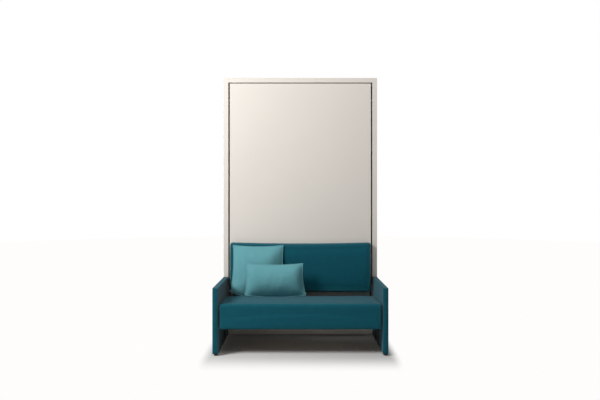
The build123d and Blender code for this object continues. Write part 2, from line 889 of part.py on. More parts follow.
def make_link(label, side, reach, top_clearance):
    """Flat steel link with a round eye at each end, standing upright."""
    plane, thickness = across(side, link_inner, link_inner + link_thickness)
    with BuildPart() as link:
        with BuildSketch(plane):
            with Locations((y_at(reach), link_base_level + link_length / 2)):
                SlotCenterToCenter(link_length, link_width, rotation=90)
            with Locations((y_at(reach), link_base_level)):
                Circle(link_pin_radius + running_clearance, mode=Mode.SUBTRACT)
            with Locations((y_at(reach), link_top_level)):
                Circle(link_pin_radius + top_clearance, mode=Mode.SUBTRACT)
        extrude(amount=thickness)
    finish(link, label)


def make_links():
    """Four links: the rear ones keep more room at their top pins."""
    for name, side in SIDES:
        make_link(f"link_front_{name}", side, link_front_reach, running_clearance)
        make_link(f"link_rear_{name}", side, link_rear_reach, open_pivot_clearance)


# Seat

def seat_profile(x, crown, setback):
    """Side view of the seat cushion at one distance from the middle, with its front skirt."""
    front = seat_front - setback
    rear = seat_rear_reach
    slope = (seat_front_level - seat_rear_level) / (front - rear)
    top_start = (y_at(rear + seat_rear_radius), seat_rear_level + slope * seat_rear_radius)
    top_end = (y_at(front - seat_front_radius), seat_front_level)
    top_middle = (
        (top_start[0] + top_end[0]) / 2,
        (top_start[1] + top_end[1]) / 2 + crown,
    )
    bend = seat_front_radius * (1 - 1 / sqrt(2))
    rear_bend = seat_rear_radius * (1 - 1 / sqrt(2))
    skirt_round = seat_front_radius / 3
    skirt_bend = skirt_round * (1 - 1 / sqrt(2))
    with BuildSketch(Plane.YZ.offset(x)) as profile:
        with BuildLine():
            Line((y_at(rear), seat_underside_level), (y_at(rear), top_start[1] - seat_rear_radius))
            ThreePointArc((y_at(rear), top_start[1] - seat_rear_radius),
                          (y_at(rear + rear_bend), top_start[1] - rear_bend), top_start)
            ThreePointArc(top_start, top_middle, top_end)
            ThreePointArc(top_end, (y_at(front - bend), seat_front_level - bend),
                          (y_at(front), seat_front_level - seat_front_radius))
            Line((y_at(front), seat_front_level - seat_front_radius),
                 (y_at(front), seat_bottom_level + skirt_round))
            ThreePointArc((y_at(front), seat_bottom_level + skirt_round),
                          (y_at(front - skirt_bend), seat_bottom_level + skirt_bend),
                          (y_at(front - skirt_round), seat_bottom_level))
            Polyline((y_at(front - skirt_round), seat_bottom_level),
                     (y_at(seat_skirt_back), seat_bottom_level),
                     (y_at(seat_skirt_back), seat_underside_level),
                     (y_at(rear), seat_underside_level))
        make_face()
    return profile.sketch


def plate_span():
    """Reach of the side plates' rear and front ends."""
    rear = link_rear_reach - link_width
    return rear, seat_skirt_back - plate_clearance


def make_seat_cushion():
    """Seat block: crowned top, rounded ends, and side pockets that the plates lie in."""
    rear, front = plate_span()
    pocket = seat_half - plate_thickness - 2 * plate_clearance
    with BuildPart() as cushion:
        loft([
            seat_profile(-seat_half, seat_end_crown, seat_front_setback),
            seat_profile(0, seat_crown, 0),
            seat_profile(seat_half, seat_end_crown, seat_front_setback),
        ])
        for _, side in SIDES:
            end = cushion.faces().sort_by(Axis.X)[-1 if side > 0 else 0]
            rounded = ShapeList(
                edge for edge in end.edges()
                if edge.center().Y < y_at(seat_skirt_back)
                or edge.center().Z > seat_rear_level - seat_rear_radius
            )
            fillet(rounded, seat_end_rounding)
        for _, side in SIDES:
            bar((side * pocket, side * inner_half),
                (rear - plate_clearance, front + plate_clearance),
                (seat_underside_level, link_top_level + link_width / 2 + plate_clearance),
                Mode.SUBTRACT)
    finish(cushion, "seat_cushion")


def make_seat_plates():
    """Steel side plates of the seat, which the links' top pins stand on."""
    rear, front = plate_span()
    low = seat_underside_level - base_board_thickness - seat_tube_height
    inner = seat_half - plate_clearance - plate_thickness
    for name, side in SIDES:
        plane, thickness = across(side, inner, inner + plate_thickness)
        with BuildPart() as plate:
            with BuildSketch(plane):
                with BuildLine():
                    Polyline(
                        (y_at(rear), low),
                        (y_at(front), low),
                        (y_at(front), low + seat_tube_width * 2),
                        (y_at(link_front_reach + link_width), link_top_level + link_width / 2),
                        (y_at(rear), link_top_level + link_width / 2),
                        close=True,
                    )
                make_face()
                with Locations((y_at(link_front_reach), link_top_level),
                               (y_at(link_rear_reach), link_top_level)):
                    Circle(link_pin_radius, mode=Mode.SUBTRACT)
            extrude(amount=thickness)
        finish(plate, f"seat_plate_{name}")


def make_seat_pins():
    """Pins for the links' top eyes, with a thin head outside each link."""
    start = seat_half - plate_clearance - plate_thickness
    head = link_inner + link_thickness + running_clearance
    with BuildPart() as pins:
        for _, side in SIDES:
            for reach in (link_front_reach, link_rear_reach):
                pin_along_x(side, start, head, link_pin_radius, reach, link_top_level)
                pin_along_x(side, head, head + link_head_thickness, link_head_radius,
                            reach, link_top_level)
    finish(pins, "seat_pins")


def make_seat_tubes():
    """Tubes across the seat between its side plates, under the base board."""
    rear, front = plate_span()
    half = seat_half - plate_clearance - plate_thickness
    low = seat_underside_level - base_board_thickness - seat_tube_height
    step = (front - rear - seat_tube_width) / (seat_tube_count - 1)
    with BuildPart() as tubes:
        for index in range(seat_tube_count):
            reach = rear + seat_tube_width / 2 + index * step
            with BuildSketch(Plane.YZ.offset(-half)):
                with Locations((y_at(reach), low + seat_tube_height / 2)):
                    Rectangle(seat_tube_width, seat_tube_height)
                    Rectangle(seat_tube_width - 2 * seat_tube_wall,
                              seat_tube_height - 2 * seat_tube_wall, mode=Mode.SUBTRACT)
            extrude(amount=2 * half)
    finish(tubes, "seat_tubes")


def make_seat_board():
    """Plywood base that the seat cushion lies on."""
    rear, front = plate_span()
    half = seat_half - plate_clearance - plate_thickness
    with BuildPart() as board:
        bar((-half, half), (rear, front),
            (seat_underside_level - base_board_thickness, seat_underside_level))
    finish(board, "seat_base_board")


# Backrest

def backrest_profile(x, rise, crown):
    """Side view of the backrest cushion at one distance from the middle."""
    back = 0
    front = backrest_reach - crown
    low = backrest_bottom_level
    high = backrest_top_level + rise
    bend = backrest_rounding * (1 - 1 / sqrt(2))
    with BuildSketch(Plane.YZ.offset(x)) as profile:
        with BuildLine():
            Line((y_at(back), low), (y_at(back), high))
            Line((y_at(back), high), (y_at(front - backrest_rounding), high))
            ThreePointArc((y_at(front - backrest_rounding), high),
                          (y_at(front - bend), high - bend),
                          (y_at(front), high - backrest_rounding))
            ThreePointArc((y_at(front), high - backrest_rounding),
                          (y_at(front + crown), (low + high) / 2),
                          (y_at(front), low + backrest_rounding))
            ThreePointArc((y_at(front), low + backrest_rounding),
                          (y_at(front - bend), low + bend),
                          (y_at(front - backrest_rounding), low))
            Line((y_at(front - backrest_rounding), low), (y_at(back), low))
        make_face()
    return profile.sketch


def make_backrest_cushion():
    """Backrest pad: crowned face, rounded edges and slightly raised top corners."""
    with BuildPart() as cushion:
        loft([
            backrest_profile(-backrest_half, backrest_ear_rise, backrest_crown),
            backrest_profile(0, 0, backrest_crown / 2),
            backrest_profile(backrest_half, backrest_ear_rise, backrest_crown),
        ])
        for _, side in SIDES:
            end = cushion.faces().sort_by(Axis.X)[-1 if side > 0 else 0]
            rounded = ShapeList(
                edge for edge in end.edges()
                if edge.center().Y < y_at(backrest_board_thickness)
            )
            fillet(rounded, backrest_end_rounding)
        bar(*backrest_board_space(), Mode.SUBTRACT)
    finish(cushion, "backrest_cushion")


def backrest_board_space():
    """Spans in X, reach and level of the board inside the backrest."""
    half = backrest_half - backrest_board_inset
    return (
        (-half, half),
        (0, backrest_board_thickness),
        (backrest_bottom_level + backrest_board_inset, backrest_top_level - backrest_board_inset),
    )


def make_backrest_board():
    """Plywood board that the backrest cushion is stapled to, screwed to the bed's panel."""
    with BuildPart() as board:
        bar(*backrest_board_space())
        for x, level in backrest_screw_places():
            pin_along_y(x, level, backrest_screw_radius, (0, backrest_board_thickness),
                        Mode.SUBTRACT)
    finish(board, "backrest_board")


def backrest_screw_places():
    """Grid of screws that hold the backrest board on the panel."""
    middle = (backrest_top_level + backrest_bottom_level) / 2
    return [
        (backrest_screw_spread_x * (column / (backrest_screw_columns - 1) - 0.5),
         middle + backrest_screw_spread_z * (row / (backrest_screw_rows - 1) - 0.5))
        for row in range(backrest_screw_rows)
        for column in range(backrest_screw_columns)
    ]


# Pillows

def pillow_outline(plane, widths, height, inset, draw, sag):
    """One outline of a pillow: drawn-in top and sides, and a lower side that hangs below its corners."""
    low = inset - height / 2
    corner = low + sag
    high = height / 2 - inset
    top = widths[0] / 2 - inset
    bottom = widths[1] / 2 - inset
    waist = (top + bottom) / 2 - draw
    with BuildSketch(plane) as outline:
        with BuildLine():
            ThreePointArc((-bottom, corner), (0, low), (bottom, corner))
            ThreePointArc((bottom, corner), (waist, (corner + high) / 2), (top, high))
            ThreePointArc((top, high), (0, high - draw), (-top, high))
            ThreePointArc((-top, high), (-waist, (corner + high) / 2), (-bottom, corner))
        make_face()
    return outline.sketch


def pillow_depth(depth, step):
    """How far a pillow stands out from its seam, a share of its half height in from the edge."""
    return depth * sin(radians(90 * step ** pillow_fullness))


def make_pillow(label, middle, widths, height, sag, front, back):
    """Pillow with a sharp seam, a full front and a flatter back, leaning against what is behind.

    The middle is X, reach and level of the seam's centre.
    """
    lean = radians(pillow_lean)
    seam = Plane(
        origin=(middle[0], y_at(middle[1]), middle[2]),
        x_dir=(1, 0, 0),
        z_dir=(0, -cos(lean), sin(lean)),
    )
    with BuildPart() as pillow:
        for depth in (front, -back):
            loft([
                pillow_outline(seam.offset(pillow_depth(depth, step)), widths, height,
                               step * height / 2, pillow_draw * (1 - pillow_draw_fade * step),
                               sag * (1 - step))
                for step in (0, *pillow_profile_steps)
            ])
    finish(pillow, label)


def pillow_back_reach(height, back):
    """How far behind its seam's centre a leaning pillow's back stands out."""
    lean = radians(pillow_lean)
    return max(
        pillow_depth(back, step) * cos(lean) + (1 - step) * height / 2 * sin(lean)
        for step in pillow_profile_steps
    )


def square_pillow_middle():
    """Seam centre of the square pillow: its back lies on the backrest, just below its top."""
    reach = backrest_reach - backrest_fall_at_pillow + pillow_rest_gap
    reach += pillow_back_reach(square_pillow_height, square_pillow_back)
    level = backrest_top_level - square_pillow_below_backrest
    level -= square_pillow_height / 2 * cos(radians(pillow_lean))
    return square_pillow_middle_x, reach, level


def lumbar_pillow_middle():
    """Seam centre of the lumbar pillow: it stands on the seat and leans on the square pillow."""
    lean = radians(pillow_lean)
    slope = sin(lean) / cos(lean)
    _, behind, level_behind = square_pillow_middle()
    fullest = pillow_profile_steps[-1]
    apart = pillow_depth(square_pillow_front, fullest) + pillow_depth(lumbar_pillow_back, fullest)
    ahead = behind + (apart + pillow_rest_gap) / cos(lean)
    foot_reach = ahead + (level_behind - seat_rear_level) * slope
    level = seat_top_at(foot_reach) + pillow_rest_gap + lumbar_pillow_height / 2 * cos(lean)
    return lumbar_pillow_middle_x, ahead + (level_behind - level) * slope, level


def seat_top_at(reach):
    """Level of the seat's crowned top at a reach."""
    rear = seat_rear_reach + seat_rear_radius
    share = (reach - rear) / (seat_front - seat_front_radius - rear)
    rise = seat_front_level - seat_rear_level
    return seat_rear_level + share * rise + 4 * seat_crown * share * (1 - share)


def make_pillows():
    """The square pillow on the backrest and the lumbar pillow before it."""
    make_pillow("pillow_square", square_pillow_middle(),
                (square_pillow_top_width, square_pillow_bottom_width), square_pillow_height,
                square_pillow_sag, square_pillow_front, square_pillow_back)
    make_pillow("pillow_lumbar", lumbar_pillow_middle(),
                (lumbar_pillow_top_width, lumbar_pillow_bottom_width), lumbar_pillow_height,
                lumbar_pillow_sag, lumbar_pillow_front, lumbar_pillow_back)


make_cabinet_sides()
make_cabinet_top()
make_cam_bolts()
make_plinth()
make_back_panel()
make_wall_rails()
make_cabinet_feet()
make_bed_panel()
make_panel_screws()
make_side_rails()
make_cross_rails()
make_slats()
make_slat_holders()
make_mattress()
make_mattress_straps()
make_pivot_arms()
make_pivot_bushes()
make_pivot_plates()
make_pivot_shafts()
make_balance_springs()
make_spring_anchors()
make_closing_stops()
make_leg_brackets()
make_guide_rollers()
make_leg_pins()
make_foot_legs()
make_foot_pads()
make_arm_boards()
make_arm_covers()
make_arm_feet()
make_arm_bolts()
make_link_brackets()
make_link_base_pins()
make_links()
make_seat_cushion()
make_seat_plates()
make_seat_pins()
make_seat_tubes()
make_seat_board()
make_backrest_cushion()
make_backrest_board()
make_pillows()
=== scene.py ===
"""Looks of the wall bed with its sofa: cabinet, folding bed, upholstered sofa, loose pillows.

Metres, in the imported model's own frame: +Z up, the sitter's side along -Y, the floor at 0.
A reach is how far something stands in front of the cabinet's front plane.
"""
import logging
import math
from collections.abc import Callable, Sequence
from dataclasses import dataclass
from enum import Enum

import bmesh
import bpy
import numpy as np
from mathutils import Matrix, Vector
from mathutils.bvhtree import BVHTree


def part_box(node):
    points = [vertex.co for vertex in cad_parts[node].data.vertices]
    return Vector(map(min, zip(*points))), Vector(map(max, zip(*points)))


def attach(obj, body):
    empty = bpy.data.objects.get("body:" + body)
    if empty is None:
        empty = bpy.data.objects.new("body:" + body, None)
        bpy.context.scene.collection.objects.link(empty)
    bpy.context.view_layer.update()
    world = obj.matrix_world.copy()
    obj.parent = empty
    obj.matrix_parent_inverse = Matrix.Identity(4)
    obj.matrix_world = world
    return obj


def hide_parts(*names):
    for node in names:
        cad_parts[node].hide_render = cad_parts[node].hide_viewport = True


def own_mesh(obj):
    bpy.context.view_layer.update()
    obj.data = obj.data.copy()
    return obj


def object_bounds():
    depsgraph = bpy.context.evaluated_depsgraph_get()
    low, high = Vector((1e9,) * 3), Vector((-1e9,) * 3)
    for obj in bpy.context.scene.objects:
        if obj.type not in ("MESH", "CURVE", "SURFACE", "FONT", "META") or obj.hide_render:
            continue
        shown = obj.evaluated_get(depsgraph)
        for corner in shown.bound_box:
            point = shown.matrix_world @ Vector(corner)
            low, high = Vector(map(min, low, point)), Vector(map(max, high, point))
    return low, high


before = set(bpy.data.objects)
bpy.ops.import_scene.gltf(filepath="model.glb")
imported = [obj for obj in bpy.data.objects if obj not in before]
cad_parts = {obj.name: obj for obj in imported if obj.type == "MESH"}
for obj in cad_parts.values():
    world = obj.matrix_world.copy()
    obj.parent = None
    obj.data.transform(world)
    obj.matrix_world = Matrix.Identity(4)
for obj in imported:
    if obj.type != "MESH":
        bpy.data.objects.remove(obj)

CAD_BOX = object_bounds()
MM = 0.001
SIDES = (("left", -1), ("right", 1))
FRONT_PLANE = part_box("cabinet_side_left")[0].y
CLOTH_QUALITY = 5
CLOTH_MASS = 0.25
CLOTH_BENDING = 0.4
log = logging.getLogger("wall_bed")

Colour = tuple[float, float, float, float]
Path = list[Vector]


class Grain(Enum):
    """Which way a timber's grain runs, as the scale of its noise along X, Y and Z."""

    ACROSS = (0.06, 1.0, 1.0)
    DEEP = (1.0, 0.06, 1.0)


class Facing(Enum):
    """The way a screw's head looks."""

    LEFT = (-1.0, 0.0, 0.0)
    RIGHT = (1.0, 0.0, 0.0)


# Small tools for colours, nodes and meshes

def linear(code: str) -> Colour:
    """Turns a screen colour into the linear one that a shader takes.

    Args:
        code: sRGB colour as six hex digits after a hash.

    Returns:
        Red, green, blue and alpha, all linear.
    """
    shares = [int(code[start:start + 2], 16) / 255 for start in (1, 3, 5)]
    low = [s / 12.92 if s <= 0.04045 else ((s + 0.055) / 1.055) ** 2.4 for s in shares]
    return (low[0], low[1], low[2], 1.0)


def add_node(tree: bpy.types.NodeTree, kind: str, inputs: dict | None = None,
             **settings: object) -> bpy.types.Node:
    """Adds a node with its settings, and sets or links its inputs.

    Args:
        tree: node tree that the node goes into.
        kind: Blender's name for the node's class.
        inputs: input name or number, and the value or the output socket that feeds it.
        settings: the node's own settings by name.

    Returns:
        The new node.
    """
    node = tree.nodes.new(kind)
    for name, value in settings.items():
        setattr(node, name, value)
    for key, value in (inputs or {}).items():
        if isinstance(value, bpy.types.NodeSocket):
            tree.links.new(value, node.inputs[key])
        else:
            node.inputs[key].default_value = value
    return node


def reckon(tree: bpy.types.NodeTree, operation: str, *values: object) -> bpy.types.NodeSocket:
    """Works out a sum of numbers or output sockets in a shader, and gives its result."""
    return add_node(tree, "ShaderNodeMath", dict(enumerate(values)), operation=operation).outputs[0]


def reckon_vector(tree: bpy.types.NodeTree, operation: str,
                  *values: object) -> bpy.types.NodeSocket:
    """Works out a sum of vectors or output sockets in a shader, and gives its result."""
    return add_node(tree, "ShaderNodeVectorMath", dict(enumerate(values)),
                    operation=operation).outputs[0]


def new_piece(name: str, mesh: bpy.types.Mesh) -> bpy.types.Object:
    """Puts a mesh into the scene as an object at the origin."""
    piece = bpy.data.objects.new(name, mesh)
    bpy.context.scene.collection.objects.link(piece)
    return piece


def mesh_of(work: bmesh.types.BMesh, name: str) -> bpy.types.Mesh:
    """Turns a finished working mesh into a named one, and frees it."""
    mesh = bpy.data.meshes.new(name)
    work.to_mesh(mesh)
    work.free()
    return mesh


def cut_across(work: bmesh.types.BMesh, low: Vector, high: Vector, axis: int,
               count: int) -> None:
    """Cuts a working mesh square to an axis, into even lengths.

    Args:
        work: working mesh.
        low: its lowest corner.
        high: its highest corner.
        axis: number of the axis.
        count: how many lengths it is cut into.
    """
    normal = Vector((0, 0, 0))
    normal[axis] = 1
    for step in range(1, count):
        place = Vector((0, 0, 0))
        place[axis] = low[axis] + (high[axis] - low[axis]) * step / count
        bmesh.ops.bisect_plane(work, geom=[*work.verts, *work.edges, *work.faces],
                               plane_co=place, plane_no=normal)


def bake(piece: bpy.types.Object) -> bpy.types.Object:
    """Turns a piece with its modifiers into a plain mesh, and takes the modifiers off.

    Args:
        piece: mesh or curve object.

    Returns:
        The piece, which is a new object where it was a curve.
    """
    graph = bpy.context.evaluated_depsgraph_get()
    mesh = bpy.data.meshes.new_from_object(piece.evaluated_get(graph))
    if piece.type == "CURVE":
        name = piece.name
        bpy.data.objects.remove(piece)
        return new_piece(name, mesh)
    piece.modifiers.clear()
    piece.data = mesh
    return piece


def points_of(piece: bpy.types.Object) -> np.ndarray:
    """Every vertex of a piece, one row each."""
    flat = np.zeros(len(piece.data.vertices) * 3, np.float32)
    piece.data.vertices.foreach_get("co", flat)
    return flat.reshape(-1, 3).astype(float)


def move_points(piece: bpy.types.Object, points: np.ndarray) -> None:
    """Puts every vertex of a piece where the rows say."""
    piece.data.vertices.foreach_set("co", points.astype(np.float32).ravel())
    piece.data.update()


def normals_of(piece: bpy.types.Object) -> np.ndarray:
    """Every vertex normal of a piece, one row each."""
    flat = np.zeros(len(piece.data.vertices) * 3, np.float32)
    piece.data.vertex_normals.foreach_get("vector", flat)
    return flat.reshape(-1, 3).astype(float)


def smooth_shade(piece: bpy.types.Object) -> None:
    """Shades every face of a piece smoothly."""
    piece.data.polygons.foreach_set("use_smooth", [True] * len(piece.data.polygons))


def subdivide(piece: bpy.types.Object) -> None:
    """Gives a piece one level of subdivision surface, made part of its mesh."""
    surface = piece.modifiers.new("Rounding", "SUBSURF")
    surface.levels = 1
    surface.render_levels = 1
    bake(piece)


def smooth_step(values: np.ndarray, low: float, high: float) -> np.ndarray:
    """Rises softly from 0 where a value is at low to 1 where it is at high."""
    share = np.clip((values - low) / (high - low), 0, 1)
    return share * share * (3 - 2 * share)


def lay_cloth_map(piece: bpy.types.Object) -> None:
    """Gives a piece a UV map in metres, laid flat on each side that a face looks to."""
    mesh = piece.data
    layer = mesh.uv_layers.get("cloth") or mesh.uv_layers.new(name="cloth")
    points = points_of(piece)
    loops = np.zeros(len(mesh.loops), np.int32)
    mesh.loops.foreach_get("vertex_index", loops)
    counts = np.zeros(len(mesh.polygons), np.int32)
    mesh.polygons.foreach_get("loop_total", counts)
    normals = np.zeros(len(mesh.polygons) * 3, np.float32)
    mesh.polygons.foreach_get("normal", normals)
    main = np.repeat(np.abs(normals.reshape(-1, 3)).argmax(axis=1), counts)
    across = np.where(main == 0, 1, 0)
    along = np.where(main == 2, 1, 2)
    flat = np.stack([points[loops, across], points[loops, along]], axis=1)
    layer.data.foreach_set("uv", flat.astype(np.float32).ravel())


# Finishes

@dataclass(frozen=True)
class Finish:
    """What every surface has: its name, its main colour and how rough it is."""

    name: str
    colour: str
    roughness: float

    def make(self) -> bpy.types.Material:
        """Gives the finish's material, and builds it the first time."""
        known = bpy.data.materials.get(self.name)
        if known:
            return known
        material = bpy.data.materials.new(self.name)
        material.use_nodes = True
        tree = material.node_tree
        shader = tree.nodes["Principled BSDF"]
        shader.inputs["Base Color"].default_value = linear(self.colour)
        shader.inputs["Roughness"].default_value = self.roughness
        self.dress(tree, shader)
        return material

    def dress(self, tree: bpy.types.NodeTree, shader: bpy.types.Node) -> None:
        """Adds what the surface shows beyond its colour."""

    def place(self, tree: bpy.types.NodeTree) -> bpy.types.NodeSocket:
        """The place on the object that patterns are drawn on."""
        return add_node(tree, "ShaderNodeTexCoord").outputs["Object"]

    def noise(self, tree: bpy.types.NodeTree, size: float, detail: float = 2.0,
              place: bpy.types.NodeSocket | None = None) -> bpy.types.NodeSocket:
        """Cloudy pattern with spots of about a size.

        Args:
            tree: material's node tree.
            size: width of a spot, in metres.
            detail: how many finer layers it has.
            place: coordinates, the object's own if none are given.

        Returns:
            The pattern, from 0 to 1.
        """
        inputs = {"Vector": place or self.place(tree), "Scale": 1 / size, "Detail": detail}
        return add_node(tree, "ShaderNodeTexNoise", inputs).outputs["Fac"]

    def tint(self, tree: bpy.types.NodeTree, shader: bpy.types.Node,
             share: bpy.types.NodeSocket, other: str) -> None:
        """Lets the main colour run to another one where a pattern is high."""
        mix = add_node(tree, "ShaderNodeMix", {0: share, 6: linear(self.colour), 7: linear(other)},
                       data_type="RGBA")
        tree.links.new(mix.outputs[2], shader.inputs["Base Color"])

    def vary_gloss(self, tree: bpy.types.NodeTree, shader: bpy.types.Node,
                   share: bpy.types.NodeSocket, less: float, more: float) -> None:
        """Lets the roughness run from somewhat less to somewhat more with a pattern."""
        gloss = add_node(tree, "ShaderNodeMapRange",
                         {"Value": share, "To Min": self.roughness - less,
                          "To Max": self.roughness + more})
        tree.links.new(gloss.outputs[0], shader.inputs["Roughness"])

    def ribs(self, tree: bpy.types.NodeTree, spacing: float,
             wander: float) -> bpy.types.NodeSocket:
        """Ribs of a knit or a weave at a spacing, which wander a little."""
        flat = add_node(tree, "ShaderNodeUVMap", uv_map="cloth").outputs["UV"]
        wave = add_node(tree, "ShaderNodeTexWave",
                        {"Vector": flat, "Scale": math.tau / (20 * spacing),
                         "Distortion": wander})
        return wave.outputs["Fac"]

    def bump(self, tree: bpy.types.NodeTree, shader: bpy.types.Node,
             height: bpy.types.NodeSocket, depth: float, strength: float) -> None:
        """Raises the surface by a pattern, up to a depth in metres."""
        node = add_node(tree, "ShaderNodeBump",
                        {"Height": height, "Distance": depth, "Strength": strength})
        tree.links.new(node.outputs["Normal"], shader.inputs["Normal"])


@dataclass(frozen=True)
class SprayedLacquer(Finish):
    """Matt lacquer sprayed on fine fibreboard: even colour, the faintest orange peel."""

    peel: float = 2.5 * MM
    cloud: float = 350 * MM
    cloud_share: float = 0.35

    def dress(self, tree: bpy.types.NodeTree, shader: bpy.types.Node) -> None:
        """Adds the peel and a hardly seen cloudiness of the coat."""
        shader.inputs["IOR"].default_value = 1.5
        self.bump(tree, shader, self.noise(tree, self.peel), 0.1 * MM, 0.25)
        clouds = reckon(tree, "MULTIPLY", self.noise(tree, self.cloud), self.cloud_share)
        self.tint(tree, shader, clouds, "#CFC8BF")


@dataclass(frozen=True)
class WovenCloth(Finish):
    """Flat woven upholstery: two sets of threads, soft light at grazing angles, slight mottling,
    and painted light and shade: thread tops painted lighter, the gaps between them painted darker.

    The real thread spacing of about 1 mm is too fine for a picture of the whole object, so the
    threads are drawn coarser, as wide as a nubby basket weave.
    """

    # Painted highlight and painted shade: the colour of thread tops in light, and of the gaps
    # between threads in shade.
    painted_lit_thread_top: str = "#126676"
    painted_shaded_hollow: str = "#06404C"
    thread: float = 3.2 * MM
    sheen: float = 0.3
    sheen_tint: str = "#B8A8A0"
    slub: float = 50 * MM

    def dress(self, tree: bpy.types.NodeTree, shader: bpy.types.Node) -> None:
        """Adds the threads, the pile's sheen, a random mottle, and a painted highlight on thread
        tops with painted shade between them.
        """
        shader.inputs["IOR"].default_value = 1.45
        shader.inputs["Specular IOR Level"].default_value = 0.15
        shader.inputs["Sheen Weight"].default_value = self.sheen
        shader.inputs["Sheen Roughness"].default_value = 0.4
        shader.inputs["Sheen Tint"].default_value = linear(self.sheen_tint)
        flat = add_node(tree, "ShaderNodeUVMap", uv_map="cloth").outputs["UV"]
        wobble = add_node(tree, "ShaderNodeTexNoise",
                          {"Vector": flat, "Scale": 1 / (14 * self.thread), "Detail": 1.0})
        shifted = reckon_vector(tree, "MULTIPLY", wobble.outputs["Color"],
                                (self.thread * 1.6,) * 3)
        moved = reckon_vector(tree, "ADD", flat, shifted)
        parts = add_node(tree, "ShaderNodeSeparateXYZ", {0: moved}).outputs
        waves = [reckon(tree, "SINE", reckon(tree, "MULTIPLY", parts[axis],
                                             math.tau / self.thread)) for axis in ("X", "Y")]
        height = add_node(tree, "ShaderNodeMapRange",
                          {"Value": reckon(tree, "MULTIPLY", *waves), "From Min": -1.0,
                           "From Max": 1.0}).outputs[0]
        share = reckon(tree, "MULTIPLY", height, self.noise(tree, self.slub, 3.0))
        # Painted light and shade: the colour runs from the shaded gap colour to the lit thread-top
        # colour with the weave's height, times a random mottle.
        weave_shade_and_mottle = add_node(tree, "ShaderNodeMix",
                       {0: share, 6: linear(self.painted_shaded_hollow), 7: linear(self.painted_lit_thread_top)},
                       data_type="RGBA")
        calm = add_node(tree, "ShaderNodeMix",
                        {0: 0.45, 6: linear(self.colour), 7: weave_shade_and_mottle.outputs[2]}, data_type="RGBA")
        tree.links.new(calm.outputs[2], shader.inputs["Base Color"])
        self.bump(tree, shader, height, 0.35 * MM, 0.5)


@dataclass(frozen=True)
class KnittedTicking(Finish):
    """Stretch-knit mattress ticking: off-white, fine ribs, a soft face."""

    rib: float = 4.0 * MM

    def dress(self, tree: bpy.types.NodeTree, shader: bpy.types.Node) -> None:
        """Adds the ribs and the yarn's sheen."""
        shader.inputs["Sheen Weight"].default_value = 0.3
        self.bump(tree, shader, self.ribs(tree, self.rib, 1.5), 0.4 * MM, 0.4)
        self.tint(tree, shader, self.noise(tree, 0.08), "#D5D2CB")


@dataclass(frozen=True)
class WovenWebbing(Finish):
    """Polypropylene webbing: close ribs across the strap, their crests painted lighter as a painted
    highlight, and a dull gloss.
    """

    rib: float = 3.0 * MM

    def dress(self, tree: bpy.types.NodeTree, shader: bpy.types.Node) -> None:
        """Adds the ribs of the weave, with a painted highlight on their crests."""
        ribs = self.ribs(tree, self.rib, 0.4)
        self.bump(tree, shader, ribs, 0.5 * MM, 0.6)
        # Painted highlight: the rib crests are painted lighter than the grooves.
        self.tint(tree, shader, ribs, "#3A3C3E")


@dataclass(frozen=True)
class SawnTimber(Finish):
    """Sanded timber, plywood or beech: long fibres with darker late wood between them."""

    late: str
    grain: Grain
    width: float = 6.0 * MM

    def dress(self, tree: bpy.types.NodeTree, shader: bpy.types.Node) -> None:
        """Adds the grain, drawn out along the board."""
        stretched = add_node(tree, "ShaderNodeMapping",
                             {"Vector": self.place(tree), "Scale": self.grain.value})
        bands = self.noise(tree, self.width, 4.0, stretched.outputs[0])
        crisp = add_node(tree, "ShaderNodeMapRange",
                         {"Value": bands, "From Min": 0.35, "From Max": 0.65})
        self.tint(tree, shader, crisp.outputs[0], self.late)
        self.bump(tree, shader, bands, 0.15 * MM, 0.3)


@dataclass(frozen=True)
class PowderCoat(Finish):
    """Baked powder paint on steel: a fine even leather-like texture, half matt."""

    texture: float = 1.2 * MM

    def dress(self, tree: bpy.types.NodeTree, shader: bpy.types.Node) -> None:
        """Adds the texture and dust that dulls the gloss here and there."""
        self.bump(tree, shader, self.noise(tree, self.texture), 0.15 * MM, 0.4)
        self.vary_gloss(tree, shader, self.noise(tree, 0.06), 0.08, 0.12)
        self.tint(tree, shader, self.noise(tree, 0.12), "#303336")


@dataclass(frozen=True)
class ZincPlate(Finish):
    """Bright zinc on pressed steel: bluish grey metal with small flakes of differing gloss."""

    flake: float = 3.0 * MM

    def dress(self, tree: bpy.types.NodeTree, shader: bpy.types.Node) -> None:
        """Adds the flakes to the gloss and the colour."""
        shader.inputs["Metallic"].default_value = 1.0
        flakes = add_node(tree, "ShaderNodeTexVoronoi",
                          {"Vector": self.place(tree), "Scale": 1 / self.flake})
        self.vary_gloss(tree, shader, flakes.outputs["Distance"], 0.08, 0.15)
        self.tint(tree, shader, self.noise(tree, 8 * MM), "#8F9296")


@dataclass(frozen=True)
class MouldedPlastic(Finish):
    """Injection-moulded plastic or rubber: a fine spark-eroded grain from the tool."""

    grain: float = 0.9 * MM

    def dress(self, tree: bpy.types.NodeTree, shader: bpy.types.Node) -> None:
        """Adds the tool's grain and slight rubbed patches."""
        shader.inputs["IOR"].default_value = 1.5
        self.bump(tree, shader, self.noise(tree, self.grain), 0.08 * MM, 0.35)
        self.vary_gloss(tree, shader, self.noise(tree, 0.03), 0.1, 0.1)


LACQUER = SprayedLacquer("sprayed matt lacquer", "#DAD4CC", 0.5)
MELAMINE = SprayedLacquer("pressed melamine back", "#CBC7BF", 0.6, 5 * MM)
TEAL = WovenCloth("woven teal upholstery", "#0A5361", 0.85)
